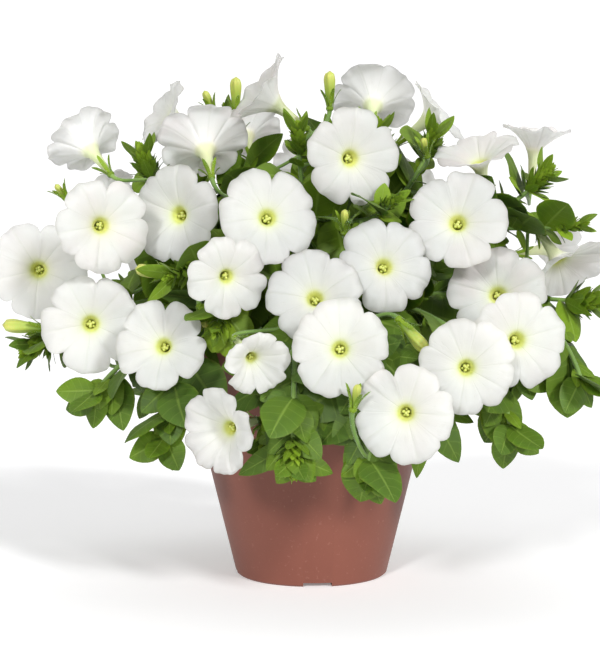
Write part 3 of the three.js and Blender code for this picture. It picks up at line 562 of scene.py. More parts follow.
def draw_stem(stem):
    curve = bpy.data.curves.new("stem", "CURVE")
    curve.dimensions = "3D"
    curve.bevel_depth = mm
    curve.bevel_resolution = 3
    curve.use_fill_caps = True
    for points, radii in stem_lines(stem):
        spline = curve.splines.new("POLY")
        spline.points.add(len(points) - 1)
        for spot, point, radius in zip(spline.points, points, radii):
            spot.co = (*(point * mm), 1)
            spot.radius = radius
    piece = bpy.data.objects.new("stem", curve)
    bpy.context.scene.collection.objects.link(piece)
    make_active(piece)
    bpy.ops.object.convert(target="MESH")
    bpy.ops.object.shade_smooth()
    finish_piece(piece, f"stem_{stem['number']:02d}", stem_skin, "leaf", stem["node"])


def stem_finish():
    finish = Finish(
        "stem_skin", Roughness=0.6, Specular_IOR_Level=0.35, Sheen_Weight=0.3, Sheen_Roughness=0.5
    )
    patches = finish.noise(60.0, 3.0)
    shade = finish.ramp(patches, [(0.3, (0.085, 0.17, 0.028, 1)), (0.7, (0.19, 0.31, 0.06, 1))])
    finish.give("Base Color", shade)
    ribs = finish.noise(900.0, 2.0)
    finish.relief(0.4, 0.2, ribs)
    return finish


stem_skin = stem_finish()
stems = [grow_stem(i + 1, *way) for i, way in enumerate(stem_ways)]

# The flower stalks: each bloom and bud stands on a thin stalk that leaves the nearest stem and turns
# to the light. It ends in a small seat, on which the bloom's tube or the bud sits.
stalk_seat_height = 3
tube_length = 28
tube_mouth_radius = 6.4
stalk_reach = 34
bloom_count = sum(name.startswith("bloom_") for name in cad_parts)
# Each bud: its seat, where it faces as a turn from -Y and a tilt in degrees, and its length
bud_ways = [
    ((-176, -52, 170), -80, 5, 28),
    ((-90, -78, 203), -75, 12, 24),
    ((-54, 10, 325), 10, 80, 25),
    ((-70, 16, 326), -60, 62, 17),
    ((12, -34, 320), 0, 78, 24),
    ((52, -120, 174), 60, -45, 26),
    ((22, -158, 126), 25, 66, 15),
    ((76, -44, 286), -20, 45, 14),
    ((20, -84, 232), 0, 60, 15),
    ((-70, -90, 182), 30, -55, 15),
    ((-166, -30, 258), -60, 50, 13),
    ((-100, 112, 268), -140, 50, 20),
    ((30, 132, 268), 175, 45, 18),
    ((112, 132, 214), 140, 20, 22),
    ((-40, 160, 160), -170, -10, 20),
]


def facing(turn, tilt):
    turn, tilt = math.radians(turn), math.radians(tilt)
    return Vector((math.sin(turn) * math.cos(tilt), -math.cos(turn) * math.cos(tilt), math.sin(tilt)))


def corner_of(node, i):
    """A corner of a solid in the frame in millimetres, rounded so that shared corners are the same."""
    return tuple(round(x / mm, 4) for x in node.data.vertices[i].co)


def read_bloom(number):
    """A bloom's frame: its three smallest faces close the foot of its tube and look back along its axis.
    From its axis outwards its corners are the throat's bottom, foot, mouth, throat's back, limb and rim."""
    name = f"bloom_{number:02d}"
    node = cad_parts[name]
    foot_faces = sorted(node.data.polygons, key=lambda face: face.area)[:3]
    axis = -foot_faces[0].normal.normalized()
    foot = {corner_of(node, i) for face in foot_faces for i in face.vertices}
    seat = sum((Vector(corner) for corner in foot), Vector()) / len(foot)
    level_from = Vector((0, -1, 0)) if abs(axis.z) > 0.9 else up
    level = square_to(axis, level_from)
    beside = axis.cross(level)
    rows = []
    for corner in {corner_of(node, i) for i in range(len(node.data.vertices))}:
        from_seat = Vector(corner) - seat
        x, y, height = from_seat.dot(level), from_seat.dot(beside), from_seat.dot(axis)
        rows.append((math.hypot(x, y), math.degrees(math.atan2(y, x)) % 360, height - tube_length))
    rows.sort()
    size = sum(radius for radius, turn, height in rows[6:16]) / 10 / tube_mouth_radius
    return {"number": number, "node": name, "seat": seat, "axis": axis, "level": level, "beside": beside,
            "size": size, "limb": rows[26:36], "rim": rows[36:]}


def grow_stalk(seat, axis):
    """Finds the stem that carries a seat, and the way that the stalk in the frame took to it."""
    stem = min(stems, key=lambda stem: stem["skin"].find_nearest(seat * mm)[3])
    top = seat - axis * stalk_seat_height
    aim = top - axis * stalk_reach
    starts = []
    for shoot in stem["shoots"]:
        for i in range(6, 20):
            point, heading = place_on(shoot["steps"], i / 20)
            starts.append(((point - aim).length + 0.5 * (point - top).length, point, heading))
    starts.sort(key=lambda start: start[0])
    ways = []
    for swing in swings[:11]:
        for cost, point, heading in starts[:9]:
            reach = (top - point).length
            first = swung(point + heading * 0.25 * reach, point, top, swing)
            ways.append((point, first, top - axis * 0.4 * reach, top))

    def stray(way):
        steps = side_steps(way, (0, 0.14, 0.5, 1))
        return misfit(stem["skin"], [steps[1], steps[2], (steps[2] + steps[3]) / 2], stalk_radius)

    stalk = {"way": min(ways, key=stray), "seat": seat, "axis": axis}
    stem["stalks"].append(stalk)
    return stem


blooms = [read_bloom(i + 1) for i in range(bloom_count)]
for bloom in blooms:
    grow_stalk(bloom["seat"], bloom["axis"])
buds = []
for place, turn, tilt, length in bud_ways:
    axis = facing(turn, tilt)
    seat = Vector(place)
    buds.append({"seat": seat, "axis": axis, "length": length, "stem": grow_stalk(seat, axis)})

# The leaves: soft, downy, broad oval leaves, one at a time round each shoot, with a crown of young ones at
# its tip. They grew flat and then bowed. Each large one is the leaf of the frame, made whole.
keel_depth = 1.3
leaf_kinds = {  # the last station before the tip: part of the length and of the width, then width to length
    "large": (0.67, 0.97, 0.7),
    "small": (0.55, 1.0, 0.7),
    "crown": (0.55, 1.0, 0.5),
}
# The broad leaves that hang clear of the others, as a place near the stem, a tip and a width
hanging_leaves = [
    ((114, -95, 131), (118, -106, 97), 32), ((172, -68, 155), (163, -84, 114), 37),
    ((127, -75, 140), (151, -84, 132), 26), ((73, -115, 103), (89, -118, 90), 21),
    ((65, -115, 95), (63, -120, 80), 14), ((86, -98, 115), (101, -102, 113), 12),
    ((-142, -72, 140), (-135, -80, 119), 22), ((-116, -75, 130), (-121, -84, 106), 24),
    ((-93, -85, 125), (-90, -96, 92), 22), ((-194, -38, 159), (-198, -42, 145), 14),
    ((32, -140, 97), (27, -144, 70), 28), ((-14, -128, 130), (-18, -134, 109), 23),
    ((-12, -134, 98), (-46, -130, 84), 14), ((-10, -136, 97), (12, -138, 86), 12),
    ((-10, -126, 118), (-34, -128, 102), 15), ((0, -124, 122), (22, -130, 108), 16),
]
hanging_reach = 34
hanging_crown_height = 150  # crowns and leaves under these heights hang, and turn their faces outwards
hanging_leaf_height = 190
front_at = -110  # crowns beyond this hang in front of the pot
dark_leaf_height = 165
axil_spacing = 5
young_leaf_count = 50
leaf_widest_at = 0.43
leaf_thickness = 0.4
golden_turn = math.radians(137.5)


def lay_chart(model, spot):
    """Lays a model's points on its chart, each on the spot that a function gives for it."""
    chart = model.data.uv_layers.active.data
    for loop in model.data.loops:
        chart[loop.index].uv = spot(model.data.vertices[loop.vertex_index].co)


def model_leaf(columns, rows):
    """A flat leaf from x -1 to 1 and y 0 to 1, with an upper and a lower face that share their edge."""
    bpy.ops.mesh.primitive_grid_add(x_subdivisions=columns, y_subdivisions=rows, size=2)
    leaf = bpy.context.object
    for point in leaf.data.vertices:
        point.co.y = 0.5 - 0.5 * math.cos(math.pi * (point.co.y + 1) / 2)
        if point.co.y < 0.001 or point.co.y > 0.999:
            point.co.x = 0
    edit_all()
    bpy.ops.mesh.duplicate_move(TRANSFORM_OT_translate={"value": (0, 0, -1)})
    bpy.ops.mesh.flip_normals()
    end_edit()
    for point in leaf.data.vertices:
        if abs(point.co.x) > 0.999 or point.co.x == 0 and (point.co.y < 0.001 or point.co.y > 0.999):
            point.co.z = 0
    edit_all()
    bpy.ops.mesh.remove_doubles(threshold=0.0001)
    end_edit()
    lay_chart(leaf, lambda point: ((point.x + 1) / 2, point.y))
    return leaf


def read_leaves(node):
    """The leaves of a solid: a leaf's tip is a corner of three faces over a flat triangle of its blade."""
    ends = {}
    for face in node.data.polygons:
        corners = [corner_of(node, i) for i in face.vertices]
        for corner in corners:
            ends.setdefault(corner, []).append([other for other in corners if other != corner])
    leaves = []
    for tip, pairs in ends.items():
        ring = [Vector(corner) for corner in {corner for pair in pairs for corner in pair}]
        if len(pairs) != 3 or len(ring) != 3:
            continue
        for k in range(3):
            leaf = leaf_over(Vector(tip), ring[k], ring[k - 1], ring[k - 2])
            if leaf:
                leaves.append(leaf)
    return leaves


def leaf_over(tip, keel, left, right):
    """The leaf whose last station is a triangle, or None if the triangle isn't one."""
    middle = (left + right) / 2
    width = (right - left).length
    drop = keel - middle
    if abs(drop.length - keel_depth) > 0.02:
        return None
    along = (right - left).cross(drop).normalized()
    reach = (tip - middle).dot(along)
    if reach < 0:
        along, reach = -along, -reach
    for kind, (part, share, ratio) in leaf_kinds.items():
        length = width / (share * ratio)
        if abs(reach - (1 - part) * length) < 0.05:
            face = drop.normalized() if kind == "crown" else -drop.normalized()
            sag = -(tip - middle).dot(face) / (length * (1 - part * part))
            base = middle - along * part * length + face * (sag * part * part * length)
            return {"kind": kind, "base": base, "along": along, "face": face, "length": length,
                    "sag": sag, "ratio": ratio}
    return None


def leaf_outline(part):
    """The half width of a leaf along its length, 1 where it is widest: a broad oval with a short point."""
    base_power, tip_power = 0.66, 0.82
    part = np.clip(part, 0, 1)
    rise = (part / leaf_widest_at) ** base_power
    fall = ((1 - part) / (1 - leaf_widest_at)) ** tip_power
    return rise * fall


def leaf_placer(leaf, twist=0.0, fold=0.2, ripple=0.05, phase=0.0):
    """A function that bends the flat leaf into its place: folded along its rib, bowed and a little wavy."""
    base, along, face = (np.array(leaf[key]) for key in ("base", "along", "face"))
    beside = np.cross(face, along)
    length, sag, ratio = leaf["length"], leaf["sag"], leaf["ratio"]

    def place(points):
        across, part, depth = points.T
        half = leaf_outline(part) * length * ratio / 2
        turn = twist * part
        bulge = fold * np.abs(across) - 1.15 * fold * across**2
        wave = ripple * np.sin(7.5 * part + phase + 1.6 * np.sign(across)) * across**2
        height = half * (bulge + wave) + depth * leaf_thickness
        sideways = across * half
        shift = sideways * np.cos(turn) - height * np.sin(turn)
        lift = sideways * np.sin(turn) + height * np.cos(turn) - sag * part**2 * length
        return (base + np.outer(part * length, along) + np.outer(shift, beside) + np.outer(lift, face)) * mm

    return place


def side_leaf(point, heading, turn, spread, length, ratio, sag, hang=0.0):
    """A leaf that leaves a shoot at a turn round it and a spread from it, with its face to the light. One
    that hangs lets its tip drop and turns its face outwards."""
    first = square_to(heading, Vector((1, 0, 0)) if abs(heading.z) > 0.9 else up)
    second = heading.cross(first)
    along = heading * math.cos(spread) + (first * math.cos(turn) + second * math.sin(turn)) * math.sin(spread)
    along = (along - up * hang).normalized()
    light = Vector((point.x, point.y - 70, 0)).normalized() * (0.65 + hang) + up * (0.8 - 0.6 * hang)
    return {"base": point, "along": along, "face": square_to(along, light), "length": length, "sag": sag,
            "ratio": ratio}


def faced_out(leaf):
    """The same leaf with its face turned outwards, and to the front on the front half of the plant."""
    base = leaf["base"]
    light = Vector((base.x, base.y - (180 if base.y < 20 else 0), 0)).normalized() + up * 0.35
    return {**leaf, "face": square_to(leaf["along"], light)}


def height_tone(leaf, dark):
    """What a leaf's height adds to its tone: leaves low on the plant are darker."""
    return dark if leaf["base"].z < dark_leaf_height else 0.05


def broad_leaves(stem):
    """The broad hanging leaves whose nearest stem is this one."""
    grown = []
    for near, tip, width in hanging_leaves:
        near, tip = Vector(near), Vector(tip)
        spots = [(place_on(shoot["steps"], i / 24)[0], each) for each in stems for shoot in each["shoots"]
                 for i in range(25)]
        base, owner = min(spots, key=lambda spot: (spot[0] - near).length)
        if owner is not stem or (base - near).length > hanging_reach:
            continue
        length = (tip - base).length
        grown.append(faced_out({"base": base, "along": (tip - base) / length, "length": length, "sag": 0.1,
                                "ratio": width / length}))
    return grown


def outer_leaf(leaf):
    """An outer leaf of a crown, broader where the crown hangs and turns to the light."""
    if leaf["base"].z >= hanging_crown_height:
        return {**leaf, "ratio": 0.44, "length": leaf["length"] * 0.82}
    if leaf["base"].y < front_at:
        return {**faced_out(leaf), "ratio": 0.7, "length": leaf["length"] * 0.72}
    return {**faced_out(leaf), "ratio": 0.76}


def crown_leaves(crown):
    """The young leaves inside a crown: narrow, and the smaller the more upright. Hanging crowns have few,
    but for the full one that hangs in front of the pot."""
    axis = sum((leaf["along"] for leaf in crown), Vector()).normalized()
    base = crown[0]["base"]
    first = square_to(axis, crown[0]["along"])
    second = axis.cross(first)
    inner = []
    hanging = base.z < hanging_crown_height and not (base.y < front_at and base.x < 10)
    count = 5 if hanging else young_leaf_count
    for i in range(count):
        left = 1 - i / count
        turn = 0.8 + golden_turn * i
        spread = math.radians(8 + 42 * left + draw.uniform(-7, 7))
        out = first * math.cos(turn) + second * math.sin(turn)
        along = axis * math.cos(spread) + out * math.sin(spread)
        length = crown[0]["length"] * (0.36 + 0.3 * left) * draw.uniform(0.85, 1.15)
        leaf = {"base": base + axis * (4 - 18 * left), "along": along, "face": square_to(along, axis),
                "length": length, "sag": draw.uniform(-0.05, 0.22),
                "ratio": draw.uniform(0.38, 0.5) * (1.3 if hanging else 1)}
        inner.append(faced_out(leaf) if hanging else leaf)
    return inner


def is_free(points, faces, walls):
    patch = BVHTree.FromPolygons([Vector(point) for point in points], faces)
    return not any(patch.overlap(wall) for wall in walls)


def axil_leaves(stem):
    """Leaves that fill the shoots between the large ones, each kept clear of the blooms."""
    faces = [tuple(face.vertices) for face in leaf_model.data.polygons]
    corners = np.array([point.co for point in leaf_model.data.vertices])
    grown = []
    for shoot in stem["shoots"]:
        steps = shoot["steps"]
        length = sum(step_lengths(steps))
        first = 24 if shoot is stem["shoots"][0] else 6
        for i in range(int((length - first) / axil_spacing)):
            at = first + i * axil_spacing
            point, heading = place_on(steps, at / length)
            left = min(1, (length - at) / 80)
            hanging = point.z < hanging_leaf_height and math.hypot(point.x, point.y) > 75
            in_front = point.y < -90 and abs(point.x) < 75
            if hanging and not in_front and i % 3:
                continue
            wanted = 2 if hanging and in_front else 1
            for k in range(8 * wanted):
                turn = golden_turn * i + k * 1.1 + draw.uniform(0, 0.7)
                if hanging:
                    size = draw.uniform(19, 28) if in_front else draw.uniform(23, 32)
                    drop = 0.3 if in_front else 0.5
                    shape = (size, draw.uniform(0.66, 0.84), draw.uniform(0.05, 0.2), drop)
                else:
                    shape = (draw.uniform(0.8, 1.2) * (15 + 13 * left), draw.uniform(0.52, 0.7),
                             draw.uniform(0.05, 0.3))
                leaf = side_leaf(point, heading, turn, math.radians(draw.uniform(38, 72)), *shape)
                end_on = hanging and point.y < 30 and abs(leaf["along"].y) > 0.65
                if not end_on and is_free(leaf_placer(leaf)(corners), faces, bloom_walls):
                    grown.append((leaf, left))
                    wanted -= 1
                if wanted == 0:
                    break
    return grown


def finish_copies(stem, name, model, copies, finish):
    """Copies of a model as one finished piece of a stem."""
    finish_piece(fused_copies(model, copies), f"{name}_{stem['number']:02d}", finish, "leaf", stem["node"])


def leaf_finish():
    finish = Finish(
        "leaf_skin",
        Roughness=0.55,
        Specular_IOR_Level=0.26,
        Sheen_Weight=0.04,
        Sheen_Roughness=0.45,
        Subsurface_Weight=0.12,
        Subsurface_Scale=1.5 * mm,
        Subsurface_Radius=(0.5, 1.0, 0.2),
    )
    side, part = finish.chart()
    across = finish.math("ABSOLUTE", finish.math("SUBTRACT", side, 0.5))
    tone = finish.tone()
    clouds = finish.noise(70.0, 4.0)
    age = finish.math("ADD", tone, finish.math("MULTIPLY_ADD", clouds, 0.5, -0.25))
    shade = finish.ramp(age, [
        (0.0, (0.225, 0.345, 0.016, 1)),
        (0.35, (0.125, 0.210, 0.008, 1)),
        (0.7, (0.078, 0.142, 0.007, 1)),
        (1.0, (0.056, 0.110, 0.010, 1)),
    ])
    bent = finish.math("MULTIPLY_ADD", across, -1.5, finish.times(part, 6.0))
    veins = finish.math("PINGPONG", bent, 0.5)
    side_veins = finish.stretch(veins, 0.0, 0.09, 1.0, 0.0)
    rib = finish.stretch(across, 0.012, 0.045, 1.0, 0.0)
    pale = finish.math("MAXIMUM", rib, finish.times(side_veins, 0.4))
    finish.give("Base Color", finish.blend(finish.times(pale, 0.36), shade, (0.24, 0.35, 0.06, 1)))
    down = finish.noise(1400.0, 2.0)
    relief = finish.math("SUBTRACT", finish.times(down, 0.25), pale)
    finish.relief(0.45, 0.35, relief)
    return finish


draw = np.random.default_rng(11)
leaf_model = model_leaf(4, 12)
young_leaf_model = model_leaf(2, 6)
leaf_skin = leaf_finish()
bloom_walls = [solid_tree(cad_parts[bloom["node"]]) for bloom in blooms]
for stem in stems:
    copies = []
    young_copies = []
    crowns = {}
    for leaf in read_leaves(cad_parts[stem["node"]]):
        if leaf["kind"] == "crown":
            crowns.setdefault(tuple(round(x, 1) for x in leaf["base"]), []).append(leaf)
            tone = draw.uniform(0.2, 0.5) + height_tone(leaf, 0.4)
            copies.append((leaf_placer(outer_leaf(leaf), fold=0.35, ripple=0.05), tone))
        else:
            twist, fold = draw.uniform(-0.5, 0.5), draw.uniform(0.14, 0.3)
            leaf["ratio"] = 0.78
            tone = 0.3 + 0.4 * (leaf["length"] - 23) / 30 + draw.uniform(-0.12, 0.2) + height_tone(leaf, 0.42)
            copies.append((leaf_placer(leaf, twist, fold, 0.09, draw.uniform(0, 6)), tone))
    for crown in crowns.values():
        for i, leaf in enumerate(crown_leaves(crown)):
            tone = draw.uniform(0.0, 0.2) + 0.45 * (1 - i / young_leaf_count) ** 1.5
            young_copies.append((leaf_placer(leaf, fold=0.5, ripple=0.02), tone))
    for leaf in broad_leaves(stem):
        copies.append((leaf_placer(leaf, draw.uniform(-0.25, 0.25), 0.2, 0.07), draw.uniform(0.55, 0.95)))
    for leaf, left in axil_leaves(stem):
        twist, fold = draw.uniform(-0.6, 0.6), draw.uniform(0.14, 0.35)
        tone = 0.12 + 0.45 * left + draw.uniform(-0.1, 0.2) + height_tone(leaf, 0.52)
        copies.append((leaf_placer(leaf, twist, fold, 0.08, draw.uniform(0, 6)), tone))
    finish_copies(stem, "leaves", leaf_model, copies, leaf_skin)
    finish_copies(stem, "young_leaves", young_leaf_model, young_copies, leaf_skin)
    draw_stem(stem)
bpy.data.objects.remove(leaf_model)
bpy.data.objects.remove(young_leaf_model)

# The calyxes: five narrow, blunt sepals that stand in a star round the foot of each tube and each bud.
# They are leafy green and downy, and grew in one piece with the top of the stalk.
sepal_length = 12.5
sepal_half_width = 1.5
knob_size = (2.6, 2.6, 2.2)  # a knob under the sepals, the end of the stalk
knob_let_in = 1.9


def calyx_placers(seat, axis):
    """The ways to place the sepals of one calyx: they hug the tube and then spread."""
    level = square_to(axis, Vector((0.3, 0.2, 1)) if abs(axis.z) < 0.9 else Vector((1, 0, 0)))
    beside = axis.cross(level)
    placers = []
    for i in range(5):
        turn = math.radians(72 * i)
        out = np.array(level * math.cos(turn) + beside * math.sin(turn))
        side = np.array(beside * math.cos(turn) - level * math.sin(turn))
        size = draw.uniform(0.88, 1.08)

        def place(points, out=out, side=side, size=size):
            across, part, depth = points.T
            end = np.sqrt(np.clip(1 - part**6, 0, 1))
            half = sepal_half_width * (0.75 + 0.5 * part - 0.25 * part**2) * end
            height = sepal_length * size * part - 1.2
            distance = 2.1 + 1.2 * part + 4.6 * part**2.2 - 0.5 * across**2 + 0.55 * depth + 0.3
            return (np.array(seat) + np.outer(height, axis) + np.outer(distance, out)
                    + np.outer(across * half, side)) * mm

        placers.append(place)
    return placers


def stood(origin, axes, size, let_in=0.0):
    """A function that stands a model on a point, turned to its axes, to its size and let in a little."""
    return lambda points: (np.array(origin) + (points * size - (0, 0, let_in)) @ axes) * mm


sepal_model = model_leaf(2, 6)
bpy.ops.mesh.primitive_uv_sphere_add(segments=12, ring_count=7, radius=1)
knob_model = bpy.context.object
for stem in stems:
    sepals = [(place, draw.uniform(0.1, 0.35)) for stalk in stem["stalks"]
              for place in calyx_placers(stalk["seat"], stalk["axis"])]
    knobs = [(stood(stalk["seat"], turned_to(stalk["axis"]), knob_size, knob_let_in), 0.3)
             for stalk in stem["stalks"]]
    finish_copies(stem, "sepals", sepal_model, sepals, leaf_skin)
    finish_copies(stem, "knobs", knob_model, knobs, leaf_skin)
bpy.data.objects.remove(sepal_model)
bpy.data.objects.remove(knob_model)

# The down: short, clear hairs that stand on the stems, the stalks and the calyxes. They grew out of the
# skin, one here and one there, and each leans its own way.
hair_length = 1.1
hair_half_width = 0.05
hairs_per_square = {"stem": 0.22, "sepals": 0.6, "knobs": 0.6}
hair_draw = np.random.default_rng(5)


def model_hair():
    """A unit hair: a three-sided spike from z 0 to 1."""
    bpy.ops.mesh.primitive_cone_add(vertices=3, radius1=1, radius2=0, depth=1, location=(0, 0, 0.5))
    bpy.ops.object.transform_apply(location=True, rotation=True, scale=True)
    return bpy.context.object


def hair_placers(skin, per_square):
    """The ways to place hairs over the faces of a piece, with a number of them to each square millimetre.
    The faces are sorted by their corners, as Blender may give them in another order in another run."""
    faces = sorted(skin.data.polygons, key=lambda face: sorted(face.vertices))
    areas = np.array([face.area for face in faces])
    count = int(areas.sum() / mm**2 * per_square)
    placers = []
    for i in hair_draw.choice(len(faces), count, p=areas / areas.sum()):
        face = faces[int(i)]
        corners = np.array([skin.data.vertices[k].co for k in sorted(face.vertices)])
        root = hair_draw.dirichlet(np.ones(len(corners))) @ corners
        turned = turned_to(Vector(np.array(face.normal) + hair_draw.normal(0, 0.3, 3)))
        length = hair_length * hair_draw.uniform(0.5, 1.2)
        placers.append(stood(root / mm, turned, (hair_half_width, hair_half_width, length), 0.1))
    return placers


def hair_finish():
    finish = Finish("hair_skin", Roughness=0.35, Subsurface_Weight=0.3, Subsurface_Scale=mm)
    tint = finish.noise(300.0, 2.0)
    shade = finish.ramp(tint, [(0.35, (0.50, 0.60, 0.30, 1)), (0.65, (0.72, 0.78, 0.55, 1))])
    finish.give("Base Color", shade)
    return finish


hair_model = model_hair()
hair_skin = hair_finish()
for stem in stems:
    hairs = [(place, 0.5) for name, per_square in hairs_per_square.items()
             for place in hair_placers(bpy.data.objects[f"{name}_{stem['number']:02d}"], per_square)]
    finish_copies(stem, "down", hair_model, hairs, hair_skin)
bpy.data.objects.remove(hair_model)

# The buds: furled petals in a slim, softly fluted spindle that twists a little to its point. They are
# olive green at the calyx and turn a pale yellow-green towards the point.
bud_columns = 30
bud_rows = 12


def weld(reach):
    """Joins the points of the active piece that meet, and turns its faces outwards."""
    edit_all()
    bpy.ops.mesh.remove_doubles(threshold=reach)
    bpy.ops.mesh.normals_make_consistent(inside=False)
    end_edit()


def model_bud():
    """A unit bud: a sheet rolled round into a fluted spindle, from its foot at z 0 to its point at z 1."""
    bpy.ops.mesh.primitive_grid_add(x_subdivisions=bud_columns, y_subdivisions=bud_rows, size=2)
    bud = bpy.context.object
    stations = (0, 0.12, 0.4, 0.62, 0.8, 0.92, 1)
    radii = (0, 0.115, 0.13, 0.15, 0.155, 0.115, 0)
    for point in bud.data.vertices:
        part = (point.co.y + 1) / 2
        turn = math.pi * (point.co.x + 1)
        flute = 1 + 0.17 * part * math.cos(5 * turn + 4 * part)
        radius = float(np.interp(part, stations, radii)) * flute
        point.co = (radius * math.cos(turn), radius * math.sin(turn), part)
    weld(0.0001)
    return bud


def bud_finish():
    finish = Finish(
        "bud_skin", Roughness=0.5, Subsurface_Weight=0.2, Subsurface_Scale=2 * mm, Sheen_Weight=0.15
    )
    turn, part = finish.chart()
    stops = [(0.1, (0.15, 0.27, 0.02, 1)), (0.5, (0.29, 0.38, 0.04, 1)), (0.85, (0.44, 0.48, 0.09, 1))]
    finish.give("Base Color", finish.ramp(part, stops))
    return finish


bud_model = model_bud()
bud_skin = bud_finish()
for i, bud in enumerate(buds):
    place = stood(bud["seat"], turned_to(bud["axis"]), bud["length"], 1)
    piece = fused_copies(bud_model, [(place, 0.5)])
    finish_piece(piece, f"bud_{i + 1:02d}", bud_skin, "petal", bud["stem"]["node"])
bpy.data.objects.remove(bud_model)

# The blooms: five white petals grown into one trumpet, a narrow tube that opens to a broad, shallow limb
# with soft creases and waved lobes. The petals are thin and let a little light through.
bloom_columns = 110
throat_rows = 7
limb_rows = 12
tube_rows = 7
petal_thickness = 0.32
# Down the inside and the outside of a tube: the depth below the mouth, and the radius there, in
# millimetres for a tube whose mouth is 6.4 mm
throat_depths = (24.5, 24, 16, 9, 4.5, 2, 0)
throat_radii = (0, 1.2, 1.8, 2.3, 3.0, 4.1, 6.0)
tube_depths = (0.9, 2.6, 5, 9, 16, 25, 27.7, 28)
tube_radii = (7.0, 5.8, 4.7, 3.7, 2.9, 2.3, 2.0, 0)


def model_sheet():
    """The flat sheet that each bloom is rolled from: x is the turn, and y runs from the bottom of the
    throat, over the limb and its edge, and back down outside to the foot of the tube."""
    rows = throat_rows + 2 * limb_rows + tube_rows
    bpy.ops.mesh.primitive_grid_add(x_subdivisions=bloom_columns, y_subdivisions=rows, size=2)
    sheet = bpy.context.object
    for point in sheet.data.vertices:
        row = (point.co.y + 1) / 2 * rows
        zones = ((throat_rows, 0), (limb_rows, 1), (limb_rows, 2), (tube_rows, 3))
        start = 0
        for count, zone in zones:
            if row <= start + count + 0.01 or zone == 3:
                y = zone + (row - start) / count
                break
            start += count
        point.co = ((point.co.x + 1) / 2, y, 0)
    lay_chart(sheet, lambda point: (point.x, point.y / 4))
    return sheet


def smooth_ring(corners, width):
    """A value for each degree round a bloom, from corners of a turn and a value, with its steps smoothed."""
    turns, values = zip(*corners)
    ring = np.interp(np.arange(360), turns, values, period=360)
    offsets = np.arange(-3 * width, 3 * width + 1)
    weights = np.exp(-0.5 * (offsets / width) ** 2)
    return sum(weight * np.roll(ring, offset) for weight, offset in zip(weights, offsets)) / weights.sum()


def round_value(turn, ring):
    return np.interp(turn, np.arange(360), ring, period=360)


def profile_value(part, profile):
    """The value a part of the way along an evenly spaced profile."""
    return np.interp(part * (len(profile) - 1), range(len(profile)), profile)


